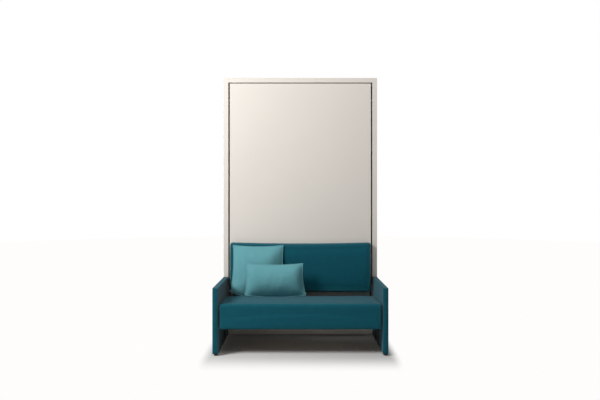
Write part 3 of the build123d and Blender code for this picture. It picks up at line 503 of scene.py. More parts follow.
# The aqua cloth's second and third colours are painted light and painted shade: the pillow cloth as
# seen lit and as seen in shade.
AQUA = WovenCloth("woven aqua pillow cloth", "#629CA3", 0.85, "#78B0B8", "#4B838B", 2.8 * MM,
                  0.2, "#D5E4E6")
TICKING = KnittedTicking("knitted mattress ticking", "#E6E3DC", 0.9)
WEBBING = WovenWebbing("woven webbing", "#1C1D1F", 0.7)
BOARD_X = SawnTimber("sanded poplar plywood across", "#B99B74", 0.65, "#A08058", Grain.ACROSS)
BOARD_Y = SawnTimber("sanded poplar plywood deep", "#B99B74", 0.65, "#A08058", Grain.DEEP)
BEECH = SawnTimber("varnished beech slat", "#C9A777", 0.4, "#B48C5B", Grain.ACROSS, 4 * MM)
STEEL = PowderCoat("powder-coated steel", "#26292A", 0.42)
ZINC = ZincPlate("zinc-plated steel", "#A9ADB1", 0.34)
NYLON = MouldedPlastic("moulded white nylon", "#C6C3BB", 0.45)
BLACK_PLASTIC = MouldedPlastic("moulded black plastic", "#141516", 0.5)
RUBBER = MouldedPlastic("moulded black rubber", "#1A1A1A", 0.8, 1.4 * MM)
TEAL_WELT = MouldedPlastic("teal sewn welt", "#0C4855", 0.85, 1.6 * MM)
AQUA_WELT = MouldedPlastic("aqua sewn welt", "#6FA9B0", 0.85, 1.6 * MM)
THREAD = MouldedPlastic("polyester sewing thread", "#2A6E7C", 0.6)
TICKING_WELT = MouldedPlastic("ticking welt tape", "#8C959A", 0.85, 1.6 * MM)

CAD_FINISHES: tuple[tuple[Finish, tuple[str, ...]], ...] = (
    (LACQUER, ("cabinet_side_left", "cabinet_side_right", "cabinet_top", "cabinet_plinth",
               "bed_panel")),
    (MELAMINE, ("cabinet_back_panel",)),
    (BOARD_X, ("wall_rail_bottom", "wall_rail_top", "backrest_board", "seat_base_board")),
    (BOARD_Y, ("arm_board_left", "arm_board_right")),
    (BEECH, ("slats",)),
    (STEEL, ("bed_rail_left", "bed_rail_right", "bed_cross_rails", "pivot_arm_left",
             "pivot_arm_right", "foot_leg_left", "foot_leg_right", "link_front_left",
             "link_front_right", "link_rear_left", "link_rear_right", "link_bracket_left",
             "link_bracket_right", "seat_plate_left", "seat_plate_right", "seat_tubes")),
    (ZINC, ("pivot_plate_left", "pivot_plate_right", "pivot_shafts", "spring_anchors",
            "leg_brackets", "leg_pins", "panel_screws", "cabinet_bolts", "arm_bolts",
            "link_base_pins", "seat_pins")),
    (NYLON, ("pivot_bushes", "guide_rollers", "slat_holders")),
    (BLACK_PLASTIC, ("cabinet_feet", "arm_feet")),
    (RUBBER, ("foot_pad_left", "foot_pad_right", "closing_stops")),
)


def dress_cad_nodes() -> None:
    """Gives each CAD node that stays its finish."""
    for finish, nodes in CAD_FINISHES:
        for node in nodes:
            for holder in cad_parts[node].material_slots:
                holder.material = finish.make()
            log.info("%s: %s", node, finish.name)


def dress(piece: bpy.types.Object, finish: Finish, body: str) -> bpy.types.Object:
    """Finishes a new piece and lets it ride on a body.

    Args:
        piece: mesh object at the origin, with its place in its mesh.
        finish: its surface.
        body: CAD body that it moves with.

    Returns:
        The same piece.
    """
    piece.data.materials.clear()
    piece.data.materials.append(finish.make())
    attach(piece, body)
    log.info("%s: %d faces, rides on %s", piece.name, len(piece.data.polygons), body)
    return piece


# Making cushions

def copy_of_node(node: str, name: str) -> bpy.types.Object:
    """Copies a CAD node's mesh into a new piece, with its loose triangles merged."""
    work = bmesh.new()
    work.from_mesh(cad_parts[node].data)
    bmesh.ops.remove_doubles(work, verts=work.verts, dist=0.01 * MM)
    return new_piece(name, mesh_of(work, name))


def remesh(piece: bpy.types.Object, cell: float) -> None:
    """Covers a piece with even square cells that lie on its own surface."""
    surface = BVHTree.FromObject(piece, bpy.context.evaluated_depsgraph_get())
    even = piece.modifiers.new("Cells", "REMESH")
    even.mode = "VOXEL"
    even.voxel_size = cell
    bake(piece)
    move_points(piece, np.array([surface.find_nearest(Vector(point))[0]
                                 for point in points_of(piece)]))


def run_cloth(piece: bpy.types.Object, held: np.ndarray, pressure: float,
              stiffness: float, frames: int, spare: float = 0.0) -> None:
    """Blows a closed piece up as cloth, with no gravity, and keeps the result in its mesh.

    Args:
        piece: closed mesh object.
        held: numbers of the vertices that stay where they are.
        pressure: air pressure inside.
        stiffness: how hard the cloth is to stretch.
        frames: how many steps it is given.
        spare: how much larger than its mesh the cloth is cut, as a share.
    """
    scene = bpy.context.scene
    cloth = piece.modifiers.new("Cloth", "CLOTH")
    settings = cloth.settings
    settings.quality = CLOTH_QUALITY
    settings.mass = CLOTH_MASS
    settings.tension_stiffness = stiffness
    settings.compression_stiffness = stiffness
    settings.shear_stiffness = stiffness / 2
    settings.bending_stiffness = CLOTH_BENDING
    settings.shrink_min = -spare
    settings.use_pressure = True
    settings.uniform_pressure_force = pressure
    settings.effector_weights.gravity = 0.0
    cloth.collision_settings.use_collision = False
    if len(held):
        group = piece.vertex_groups.new(name="held")
        group.add([int(index) for index in held], 1.0, "REPLACE")
        settings.vertex_group_mass = "held"
    cloth.point_cache.frame_start = 1
    cloth.point_cache.frame_end = frames
    for step in range(1, frames + 1):
        scene.frame_set(step)
    bake(piece)
    piece.vertex_groups.clear()
    scene.frame_set(1)


@dataclass(frozen=True)
class Swelling:
    """How a cushion made from its CAD solid is filled."""

    cell: float
    pressure: float
    give: float
    take_in: float = 0.3
    stiffness: float = 12.0
    frames: int = 18

    def fill(self, piece: bpy.types.Object, held: Callable[[np.ndarray], np.ndarray]) -> None:
        """Takes a piece in a little, blows it up and caps how far each point has moved.

        Args:
            piece: mesh object with the cushion's full shape.
            held: gives 1 for each point that is fixed and 0 for each that is free.
        """
        remesh(piece, self.cell)
        full = points_of(piece)
        free = 1 - held(full)
        start = full - normals_of(piece) * (free * self.give * self.take_in)[:, None]
        move_points(piece, start)
        outward = normals_of(piece)
        run_cloth(piece, np.flatnonzero(free < 0.01), self.pressure, self.stiffness,
                  self.frames)
        moved = points_of(piece) - start
        drawn_in = np.minimum((moved * outward).sum(axis=1), 0)
        moved -= outward * drawn_in[:, None]
        length = np.maximum(np.linalg.norm(moved, axis=1), 1e-9)
        eased = self.give * np.tanh(length / self.give) / length
        move_points(piece, start + moved * eased[:, None])
        subdivide(piece)
        smooth_shade(piece)


def relax(piece: bpy.types.Object, held: Sequence[int], rounds: int) -> None:
    """Softens a piece's creases: each free vertex moves to the middle of its neighbours.

    Args:
        piece: mesh object.
        held: numbers of the vertices that stay where they are.
        rounds: how many times the vertices move.
    """
    points = points_of(piece)
    edges = np.zeros(len(piece.data.edges) * 2, np.int32)
    piece.data.edges.foreach_get("vertices", edges)
    first, second = edges.reshape(-1, 2).T
    count = np.bincount(edges, minlength=len(points))[:, None]
    kept = points[list(held)]
    for _ in range(rounds):
        total = np.zeros_like(points)
        np.add.at(total, first, points[second])
        np.add.at(total, second, points[first])
        points = total / count
        points[list(held)] = kept
    move_points(piece, points)


def line(name: str, path: Path, closed: bool) -> bpy.types.Object:
    """Makes a curve object through a path's points."""
    curve = bpy.data.curves.new(name, "CURVE")
    curve.dimensions = "3D"
    spline = curve.splines.new("POLY")
    spline.points.add(len(path) - 1)
    for point, place in zip(spline.points, path):
        point.co = (*place, 1.0)
    spline.use_cyclic_u = closed
    piece = bpy.data.objects.new(name, curve)
    bpy.context.scene.collection.objects.link(piece)
    return piece


def tube(name: str, path: Path, radius: float, closed: bool) -> bpy.types.Object:
    """Makes a round cord or pipe along a path.

    Args:
        name: the piece's name.
        path: points that it goes through.
        radius: its radius, in metres.
        closed: whether its ends meet.

    Returns:
        A mesh object.
    """
    piece = line(name, path, closed)
    piece.data.bevel_depth = radius
    piece.data.bevel_resolution = 1
    piece.data.use_fill_caps = not closed
    piece = bake(piece)
    smooth_shade(piece)
    return piece


def on_surface(piece: bpy.types.Object, path: Path, proud: float) -> Path:
    """Moves each point of a path to the nearest place on a piece, standing proud by a distance."""
    tree = BVHTree.FromObject(piece, bpy.context.evaluated_depsgraph_get())
    found = [tree.find_nearest(point) for point in path]
    return [place + normal * proud for place, normal, _, _ in found]


def even_path(corners: Path, spacing: float, closed: bool) -> Path:
    """Points at an even spacing along straight runs between corners."""
    ends = corners + corners[:1] if closed else corners
    path: Path = []
    for start, end in zip(ends, ends[1:]):
        count = max(2, round((end - start).length / spacing))
        path += [start.lerp(end, step / count) for step in range(count)]
    return path if closed else path + [ends[-1]]


@dataclass(frozen=True)
class Welt:
    """A fine sewn cord that stands on a seam."""

    radius: float = 1.5 * MM
    spacing: float = 12 * MM
    proud: float = 0.2 * MM

    def lay(self, name: str, cloth: bpy.types.Object, corners: Path,
            closed: bool) -> bpy.types.Object:
        """Lays the cord on a cloth along straight runs between corners.

        Args:
            name: the cord's name.
            cloth: piece that it is sewn to.
            corners: places near the cloth that it passes.
            closed: whether its ends meet.

        Returns:
            A mesh object.
        """
        path = on_surface(cloth, even_path(corners, self.spacing, closed), self.proud)
        return tube(name, path, self.radius, closed)


def join(name: str, pieces: Sequence[bpy.types.Object]) -> bpy.types.Object:
    """Makes one piece of several mesh objects."""
    work = bmesh.new()
    for piece in pieces:
        work.from_mesh(piece.data)
        bpy.data.objects.remove(piece)
    joined = new_piece(name, mesh_of(work, name))
    smooth_shade(joined)
    return joined


# What repeats, made by geometry nodes

class Repeater:
    """A geometry node tree that sets a small shape on points or along a path."""

    def __init__(self, name: str, inputs: dict[str, str]) -> None:
        """Starts a tree that takes geometry, its own inputs and a material, and gives geometry.

        Args:
            name: the tree's name.
            inputs: name and kind of each input of its own.
        """
        self.tree = bpy.data.node_groups.new(name, "GeometryNodeTree")
        self.keys: dict[str, str] = {}
        for title, kind in {"Geometry": "Geometry", **inputs, "Material": "Material"}.items():
            made = self.tree.interface.new_socket(title, in_out="INPUT",
                                                  socket_type=f"NodeSocket{kind}")
            self.keys[title] = made.identifier
        self.tree.interface.new_socket("Geometry", in_out="OUTPUT",
                                       socket_type="NodeSocketGeometry")
        self.source = add_node(self.tree, "NodeGroupInput")

    def end(self, instances: bpy.types.NodeSocket) -> None:
        """Makes the instances real and gives them their material."""
        real = add_node(self.tree, "GeometryNodeRealizeInstances", {0: instances})
        painted = add_node(self.tree, "GeometryNodeSetMaterial",
                           {0: real.outputs[0], "Material": self.source.outputs["Material"]})
        add_node(self.tree, "NodeGroupOutput", {0: painted.outputs[0]})

    def run(self, piece: bpy.types.Object, values: dict[str, object]) -> bpy.types.Object:
        """Runs the tree on a piece and keeps the result as its mesh."""
        repeat = piece.modifiers.new(self.tree.name, "NODES")
        repeat.node_group = self.tree
        for name, value in values.items():
            repeat[self.keys[name]] = value
        return bake(piece)


class ScrewSetter(Repeater):
    """Sets a screw head on every vertex, turned the way that the vertex faces."""

    def __init__(self) -> None:
        """Builds the tree: an object on points, aligned to the facing attribute."""
        super().__init__("screw setter", {"Head": "Object", "Radius": "Float"})
        head = add_node(self.tree, "GeometryNodeObjectInfo",
                        {"Object": self.source.outputs["Head"]})
        facing = add_node(self.tree, "GeometryNodeInputNamedAttribute", {"Name": "facing"},
                          data_type="FLOAT_VECTOR")
        turned = add_node(self.tree, "FunctionNodeAlignRotationToVector",
                          {"Vector": facing.outputs[0]}, axis="Z")
        placed = add_node(self.tree, "GeometryNodeInstanceOnPoints",
                          {"Points": self.source.outputs["Geometry"],
                           "Instance": head.outputs["Geometry"],
                           "Rotation": turned.outputs[0],
                           "Scale": self.source.outputs["Radius"]})
        self.end(placed.outputs[0])


class StitchRunner(Repeater):
    """Sews short stitches along a path at an even spacing."""

    def __init__(self) -> None:
        """Builds the tree: points along the path, and a short thread on each."""
        super().__init__("stitch runner",
                         {"Spacing": "Float", "Length": "Float", "Thickness": "Float"})
        spread = add_node(self.tree, "GeometryNodeCurveToPoints",
                          {"Curve": self.source.outputs["Geometry"],
                           "Length": self.source.outputs["Spacing"]}, mode="LENGTH")
        thread = add_node(self.tree, "GeometryNodeMeshCylinder",
                          {"Vertices": 5, "Radius": self.source.outputs["Thickness"],
                           "Depth": self.source.outputs["Length"]})
        placed = add_node(self.tree, "GeometryNodeInstanceOnPoints",
                          {"Points": spread.outputs["Points"], "Instance": thread.outputs["Mesh"],
                           "Rotation": spread.outputs["Rotation"]})
        self.end(placed.outputs[0])


@dataclass
class Stitching:
    """A row of stitches beside a seam."""

    spacing: float = 8.0 * MM
    length: float = 5.0 * MM
    thickness: float = 0.5 * MM

    def sew(self, name: str, cloth: bpy.types.Object, corners: Path, closed: bool,
            body: str) -> None:
        """Sews stitches onto a cloth along straight runs between corners.

        Args:
            name: the row's name.
            cloth: piece that is sewn.
            corners: places near the cloth that the row passes.
            closed: whether the row's ends meet.
            body: CAD body that the cloth rides on.
        """
        path = on_surface(cloth, even_path(corners, 12 * MM, closed), 0.3 * MM)
        row = StitchRunner().run(line(name, path, closed), {
            "Spacing": self.spacing, "Length": self.length, "Thickness": self.thickness,
            "Material": THREAD.make()})
        dress(row, THREAD, body)


class CoilWinder(Repeater):
    """Winds a coil spring up from every vertex."""

    def __init__(self) -> None:
        """Builds the tree: a spiral swept with a round wire, set on points."""
        super().__init__("coil winder", {"Turns": "Float", "Radius": "Float",
                                         "Height": "Float", "Wire": "Float"})
        spiral = add_node(self.tree, "GeometryNodeCurveSpiral",
                          {"Resolution": 12, "Rotations": self.source.outputs["Turns"],
                           "Start Radius": self.source.outputs["Radius"],
                           "End Radius": self.source.outputs["Radius"],
                           "Height": self.source.outputs["Height"]})
        section = add_node(self.tree, "GeometryNodeCurvePrimitiveCircle",
                           {"Resolution": 6, "Radius": self.source.outputs["Wire"]})
        wire = add_node(self.tree, "GeometryNodeCurveToMesh",
                        {"Curve": spiral.outputs[0], "Profile Curve": section.outputs[0],
                         "Fill Caps": True})
        placed = add_node(self.tree, "GeometryNodeInstanceOnPoints",
                          {"Points": self.source.outputs["Geometry"], "Instance": wire.outputs[0]})
        self.end(placed.outputs[0])


def lathed(name: str, outline: Sequence[tuple[float, float]], sides: int) -> bpy.types.Mesh:
    """Turns a closed solid of revolution about Z.

    Args:
        name: the mesh's name.
        outline: radius and height of each ring, from the bottom's middle to the top's.
        sides: how many flats go round it.

    Returns:
        The mesh.
    """
    work = bmesh.new()
    rings = []
    for radius, height in outline:
        if radius == 0:
            rings.append([work.verts.new((0, 0, height))])
            continue
        turns = [math.tau * step / sides for step in range(sides)]
        rings.append([work.verts.new((radius * math.cos(turn), radius * math.sin(turn), height))
                      for turn in turns])
    for low, high in zip(rings, rings[1:]):
        for step in range(sides):
            after = (step + 1) % sides
            corners = [low[step % len(low)], low[after % len(low)],
                       high[after % len(high)], high[step % len(high)]]
            work.faces.new(list(dict.fromkeys(corners)))
    bmesh.ops.recalc_face_normals(work, faces=work.faces)
    return mesh_of(work, name)


@dataclass
class Fixings:
    """Screws that hold the fittings, one piece for each body."""

    radius: float = 4.2 * MM
    plate_spacing_y: float = 42 * MM
    plate_spacing_z: float = 66 * MM
    bracket_face: float = 602 * MM
    bracket_screws: tuple[float, float] = (42 * MM, 56 * MM)

    def head(self) -> bpy.types.Object:
        """Pan head with a deep socket, one unit in radius, standing on Z = 0."""
        outline = ((0, -0.05), (1, -0.05), (1, 0.12), (0.86, 0.36), (0.62, 0.44), (0.42, 0.44),
                   (0.38, 0.14), (0, 0.1))
        return new_piece("screw_head_pattern", lathed("screw_head_pattern", outline, 12))

    def places_on_cabinet(self) -> list[tuple[Vector, Facing]]:
        """Where the cabinet's screws sit, and which way each faces."""
        places = []
        for side, sign in SIDES:
            facing = Facing.LEFT if sign > 0 else Facing.RIGHT
            low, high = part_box(f"pivot_plate_{side}")
            surface = low.x if sign > 0 else high.x
            middle = (low + high) / 2
            for across in (-self.plate_spacing_y / 2, self.plate_spacing_y / 2):
                for up in (-self.plate_spacing_z / 2, self.plate_spacing_z / 2):
                    places.append((Vector((surface, middle.y + across, middle.z + up)), facing))
        return places

    def places_on_bed(self) -> list[tuple[Vector, Facing]]:
        """Where the screws of the leg brackets sit."""
        places = []
        low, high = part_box("leg_brackets")
        for _, sign in SIDES:
            facing = Facing.LEFT if sign < 0 else Facing.RIGHT
            for rise in self.bracket_screws:
                place = Vector((sign * self.bracket_face, (low.y + high.y) / 2, low.z + rise))
                places.append((place, facing))
        return places

    def build(self) -> None:
        """Makes both sets of screws."""
        head = self.head()
        setter = ScrewSetter()
        sets = (("cabinet_fitting_screws", "cabinet", self.places_on_cabinet()),
                ("bed_fitting_screws", "bed", self.places_on_bed()))
        for name, body, places in sets:
            mesh = bpy.data.meshes.new(name)
            mesh.from_pydata([place for place, _ in places], [], [])
            facing = mesh.attributes.new("facing", "FLOAT_VECTOR", "POINT")
            facing.data.foreach_set("vector", [part for _, way in places for part in way.value])
            piece = setter.run(new_piece(name, mesh),
                               {"Head": head, "Radius": self.radius, "Material": ZINC.make()})
            smooth_shade(piece)
            dress(piece, ZINC, body)
        bpy.data.objects.remove(head)


@dataclass
class BalanceSprings:
    """Compression springs between the cabinet's anchors and the bed's cranks.

    The coils draw together as the bed comes down and its cranks rise. Each crank's three pins
    then stand above one another, so the springs end just above the highest of them.
    """

    count: int = 3
    pitch: float = 15 * MM
    coil_radius: float = 4.2 * MM
    wire: float = 1.2 * MM
    turns: float = 36.0
    neck: float = 14 * MM
    hook_radius: float = 5.4 * MM
    lead: float = 3 * MM
    open_end_level: float = 476 * MM
    closed_pin_level: float = 309.3 * MM
    anchor_level: float = 660 * MM

    def build(self) -> None:
        """Makes all six springs as one piece, at their length with the bed closed."""
        places = []
        for side, _ in SIDES:
            low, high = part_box(f"balance_springs_{side}")
            middle = (low + high) / 2
            for index in range(self.count):
                across = (index - (self.count - 1) / 2) * self.pitch
                places.append(Vector((middle.x, middle.y + across,
                                      self.closed_pin_level + self.neck)))
        mesh = bpy.data.meshes.new("spring_coils")
        mesh.from_pydata(places, [], [])
        closed_length = self.anchor_level - self.closed_pin_level
        height = closed_length - 2 * self.neck
        coils = CoilWinder().run(new_piece("spring_coils", mesh), {
            "Turns": self.turns, "Radius": self.coil_radius, "Height": height,
            "Wire": self.wire, "Material": ZINC.make()})
        ends = [self.hook(place, height) for place in places]
        springs = join("balance_springs", [coils, *ends])
        dress(springs, ZINC, "cabinet")
        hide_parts("balance_springs_left", "balance_springs_right")
        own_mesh(springs)

    def hook(self, start: Vector, height: float) -> bpy.types.Object:
        """Bent wire from the coil's end round the pin, at both ends of one spring."""
        ends = []
        for level, sign in ((start.z, -1), (start.z + height, 1)):
            pin = level + sign * self.neck
            radius = self.hook_radius
            turn = [Vector((start.x, start.y + radius * math.sin(angle), pin - sign * radius
                            * math.cos(angle))) for angle in np.linspace(0.3, math.tau - 0.3, 15)]
            lead = [Vector((start.x + self.coil_radius, start.y, level)),
                    Vector((start.x + self.coil_radius / 2, start.y, level + sign * self.lead))]
            ends.append(tube("spring_hook", lead + turn, self.wire, False))
        return join("spring_hook_pair", ends)


# The sofa

@dataclass
class SeatPad:
    """Upholstered seat block: full front, crowned top, ends tight against the side plates."""

    plate_room: float = 604.7 * MM
    plate_rear: float = 186 * MM
    plate_front: float = 606 * MM
    plate_top: float = 356 * MM
    underside: float = 240.5 * MM
    base_top: float = 241.5 * MM
    skirt_reach: float = 603 * MM
    pocket: float = 600 * MM
    swelling: Swelling = Swelling(9.0 * MM, 4.0, 4.0 * MM)

    def held(self, points: np.ndarray) -> np.ndarray:
        """The underside and the pockets at the ends don't swell."""
        under = points[:, 2] < self.underside
        inside_skirt = points[:, 1] > FRONT_PLANE - self.skirt_reach
        inside_skirt &= points[:, 2] < self.base_top
        pocket = np.abs(points[:, 0]) > self.pocket
        low = points[:, 2] < self.plate_top
        return ((under & inside_skirt) | (pocket & low)).astype(float)

    def build(self) -> None:
        """Makes the pad and the welts on its ends."""
        pad = copy_of_node("seat_cushion", "seat_pad")
        self.swelling.fill(pad, self.held)
        points = points_of(pad)
        reach = FRONT_PLANE - points[:, 1]
        beside = (reach > self.plate_rear) & (reach < self.plate_front)
        beside &= points[:, 2] < self.plate_top
        sign = np.sign(points[:, 0])
        tight = beside & (np.abs(points[:, 0]) > self.plate_room)
        points[tight, 0] = sign[tight] * self.plate_room
        move_points(pad, points)
        lay_cloth_map(pad)
        dress(pad, TEAL, "seat")
        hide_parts("seat_cushion")
        self.welts(pad)

    def welts(self, pad: bpy.types.Object) -> None:
        """Sewn edges up the front face's ends and back along the top's."""
        low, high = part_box("seat_cushion")
        welts = []
        for side, sign in SIDES:
            x = sign * (high.x - 3 * MM)
            corners = [Vector((x, low.y + 3 * MM, low.z + 8 * MM)),
                       Vector((x, low.y + 3 * MM, high.z - 22 * MM)),
                       Vector((x, low.y + 9 * MM, high.z - 9 * MM)),
                       Vector((x, low.y + 24 * MM, high.z)),
                       Vector((x, high.y - 10 * MM, high.z - 16 * MM))]
            welts.append(Welt().lay("welt", pad, corners, False))
            inward = Vector((sign * 9 * MM, 0, 0))
            Stitching().sew(f"seat_stitches_{side}", pad,
                            [corner - inward for corner in corners], False, "seat")
        dress(join("seat_welts", welts), TEAL_WELT, "seat")


@dataclass
class BackrestPad:
    """Upholstered backrest on the bed's panel, with its board let into its back."""

    board_depth: float = 12.4 * MM
    dip: float = 9.0 * MM
    welt_inset: float = 9 * MM
    stitch_inset: float = 26 * MM
    swelling: Swelling = Swelling(9.0 * MM, 4.0, 4.5 * MM)

    def held(self, points: np.ndarray) -> np.ndarray:
        """The back, flat on the panel and round the board, doesn't swell."""
        return (points[:, 1] > FRONT_PLANE - self.board_depth - 2 * MM).astype(float)

    def build(self) -> None:
        """Makes the pad, the seam round its face and the stitches beside it."""
        pad = copy_of_node("backrest_cushion", "backrest_pad")
        self.swelling.fill(pad, self.held)
        points = points_of(pad)
        points[:, 1] = np.minimum(points[:, 1], FRONT_PLANE - 0.2 * MM)
        move_points(pad, points)
        lay_cloth_map(pad)
        dress(pad, TEAL, "bed")
        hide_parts("backrest_cushion")
        low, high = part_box("backrest_cushion")
        welt = Welt().lay("backrest_welt", pad, self.loop(low, high, self.welt_inset), True)
        dress(welt, TEAL_WELT, "bed")
        Stitching().sew("backrest_stitches", pad, self.loop(low, high, self.stitch_inset), True,
                        "bed")

    def loop(self, low: Vector, high: Vector, inset: float) -> Path:
        """Corners of a line round the face, an inset in from its edges."""
        front = low.y + inset / 3
        return [Vector((low.x + inset, front, low.z + inset)),
                Vector((low.x + inset, front, high.z - inset)),
                Vector((0, front, high.z - self.dip - inset)),
                Vector((high.x - inset, front, high.z - inset)),
                Vector((high.x - inset, front, low.z + inset))]


@dataclass
class ArmCover:
    """Cloth glued and sewn over an arm board: both faces, the top and the front."""

    edge: float = 4.0 * MM
    crown: float = 1.3 * MM
    cloth: float = 2.4 * MM
    cell: float = 16.0 * MM
    outer_from: float = 17 * MM
    stitch_off: float = 13 * MM
    welt: Welt = Welt(1.1 * MM, 14 * MM, 0.1 * MM)

    def build(self) -> None:
        """Makes both covers with their seams."""
        for side, sign in SIDES:
            cover = self.shell(side, sign)
            lay_cloth_map(cover)
            dress(cover, TEAL, "cabinet")
            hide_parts(f"arm_cover_{side}")
            self.seams(side, cover)

    def shell(self, side: str, sign: int) -> bpy.types.Object:
        """The cover itself, open below and behind, with its thickness turned inwards."""
        low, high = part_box(f"arm_cover_{side}")
        work = bmesh.new()
        bmesh.ops.create_cube(work, size=1.0, matrix=Matrix.LocRotScale(
            (low + high) / 2, None, high - low))
        gone = [face for face in work.faces if face.normal.z < -0.5 or face.normal.y > 0.5]
        bmesh.ops.delete(work, geom=gone, context="FACES_ONLY")
        sharp = [edge for edge in work.edges if len(edge.link_faces) == 2]
        bmesh.ops.bevel(work, geom=sharp, offset=self.edge, segments=3, profile=0.5,
                        affect="EDGES")
        for axis in range(1, 3):
            cut_across(work, low, high, axis, int((high[axis] - low[axis]) / self.cell))
        name = f"arm_padding_{side}"
        piece = new_piece(name, mesh_of(work, name))
        self.puff(piece, low, high, sign)
        wall = piece.modifiers.new("Cloth", "SOLIDIFY")
        wall.thickness = self.cloth
        wall.offset = -1.0
        bake(piece)
        smooth_shade(piece)
        return piece

    def puff(self, piece: bpy.types.Object, low: Vector, high: Vector, sign: int) -> None:
        """Crowns the outer face and the front a little, and pulls the cloth in at its hems."""
        points = points_of(piece)
        along = (points[:, 1] - low.y) / (high.y - low.y)
        up = (points[:, 2] - low.z) / (high.z - low.z)
        dome = np.clip(16 * along * (1 - along) * up * (1 - up), 0, 1)
        outer = sign * points[:, 0] > sign * (low.x + high.x) / 2 + self.outer_from
        points[outer, 0] += sign * self.crown * dome[outer]
        front = points[:, 1] < low.y + 0.5 * MM
        points[front, 1] -= self.crown * np.clip(4 * up[front] * (1 - up[front]), 0, 1)
        move_points(piece, points)

    def seams(self, side: str, cover: bpy.types.Object) -> None:
        """Two fine welts, along the front's upright edges and over the top's long edges."""
        low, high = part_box(f"arm_cover_{side}")
        welts = []
        for x in (low.x + 0.8 * MM, high.x - 0.8 * MM):
            corners = [Vector((x, low.y + 1 * MM, low.z + 2 * MM)),
                       Vector((x, low.y + 1 * MM, high.z - 1 * MM)),
                       Vector((x, high.y - 1 * MM, high.z - 1 * MM))]
            welts.append(self.welt.lay("welt", cover, corners, False))
        dress(join(f"arm_welts_{side}", welts), TEAL_WELT, "cabinet")
        middle = (low.x + high.x) / 2
        for edge, x in (("a", middle - self.stitch_off), ("b", middle + self.stitch_off)):
            corners = [Vector((x, low.y, low.z + 6 * MM)), Vector((x, low.y, high.z)),
                       Vector((x, high.y - 4 * MM, high.z))]
            Stitching().sew(f"arm_stitches_{side}_{edge}", cover, corners, False, "cabinet")


@dataclass
class Pillow:
    """Loose pillow: two cloths sewn round their edge and blown up, leaning on what is behind."""

    node: str
    top_width: float
    bottom_width: float
    corner_rise: float
    front_share: float
    lean: float = 7.0
    draw: float = 13 * MM
    cell: float = 6.0 * MM
    pressure: float = 5.0
    spare: float = 0.01
    softening: int = 6
    skew: float = 0.0
    parting: float = 9 * MM
    stiffness: float = 5.0
    frames: int = 22
    welt_radius: float = 1.9 * MM

    def frame_of(self) -> tuple[np.ndarray, np.ndarray, np.ndarray]:
        """The pillow's own axes and the extent of its CAD solid along them.

        Returns:
            Rows of axes across, up and forwards, the lowest and the highest corner on them.
        """
        turn = math.radians(self.lean)
        axes = np.array([(1, 0, 0),
                         (0, math.sin(turn), math.cos(turn)),
                         (0, -math.cos(turn), math.sin(turn))])
        local = points_of(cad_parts[self.node]) @ axes.T
        return axes, local.min(axis=0), local.max(axis=0)

    def seam_point(self, across: float, up: float, height: float) -> tuple[float, float]:
        """Where a share across and a share up lie on the flat cloth, whose edges are drawn in.

        Args:
            across: from -1 at the left edge to 1 at the right.
            up: from 0 at the lower edge to 1 at the upper.
            height: the pillow's height, in metres.
        """
        half = (self.bottom_width + (self.top_width - self.bottom_width) * up) / 2
        half -= self.draw * 4 * up * (1 - up)
        low = -height / 2 + self.corner_rise * across * across
        high = height / 2 - self.draw * (1 - across * across)
        return across * half + self.skew * up, low + (high - low) * up

    def cloths(self, height: float) -> tuple[bpy.types.Object, list[int]]:
        """Two flat cloths, joined round their edge and parted a little in the middle.

        Args:
            height: the pillow's height, in metres.

        Returns:
            The piece, and its edge's vertices in order.
        """
        columns = round(self.bottom_width / self.cell)
        rows = round(height / self.cell)
        points: list[tuple[float, float, float]] = []
        number: dict[tuple[int, int, int], int] = {}
        for face in (1, -1):
            for row in range(rows + 1):
                for column in range(columns + 1):
                    if face < 0 and (row in (0, rows) or column in (0, columns)):
                        number[face, row, column] = number[1, row, column]
                        continue
                    across = 2 * column / columns - 1
                    up = row / rows
                    dome = (1 - across * across) * 4 * up * (1 - up)
                    number[face, row, column] = len(points)
                    depth = face * self.parting * dome
                    points.append((*self.seam_point(across, up, height), depth))
        faces = []
        for face in (1, -1):
            for row in range(rows):
                for column in range(columns):
                    corners = [number[face, row, column], number[face, row, column + 1],
                               number[face, row + 1, column + 1], number[face, row + 1, column]]
                    faces.append(corners if face > 0 else corners[::-1])
        rim = [number[1, 0, column] for column in range(columns)]
        rim += [number[1, row, columns] for row in range(rows)]
        rim += [number[1, rows, column] for column in range(columns, 0, -1)]
        rim += [number[1, row, 0] for row in range(rows, 0, -1)]
        mesh = bpy.data.meshes.new(self.node)
        mesh.from_pydata(points, [], faces)
        return new_piece(f"{self.node}_filled", mesh), rim

    def build(self) -> None:
        """Makes the pillow, fits it into its CAD solid and sews a welt round it."""
        axes, lowest, highest = self.frame_of()
        size = highest - lowest
        pillow, rim = self.cloths(size[1])
        run_cloth(pillow, np.array(rim), self.pressure, self.stiffness,
                  self.frames, self.spare)
        relax(pillow, rim, self.softening)
        points = points_of(pillow)
        seam_depth = lowest[2] + size[2] * (1 - self.front_share)
        points[:, :2] += (lowest[:2] + highest[:2]) / 2
        rim_depth = points[rim, 2].mean()
        depth = points[:, 2] - rim_depth
        front = depth > 0
        depth[front] *= (highest[2] - seam_depth) / depth.max()
        depth[~front] *= (seam_depth - lowest[2]) / -depth.min()
        points[:, 2] = seam_depth + depth
        move_points(pillow, points @ axes)
        seam = [Vector(place) for place in points[rim] @ axes]
        subdivide(pillow)
        smooth_shade(pillow)
        lay_cloth_map(pillow)
        dress(pillow, AQUA, self.node)
        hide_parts(self.node)
        welt = tube(f"{self.node}_welt", seam, self.welt_radius, True)
        dress(welt, AQUA_WELT, self.node)


# The bed

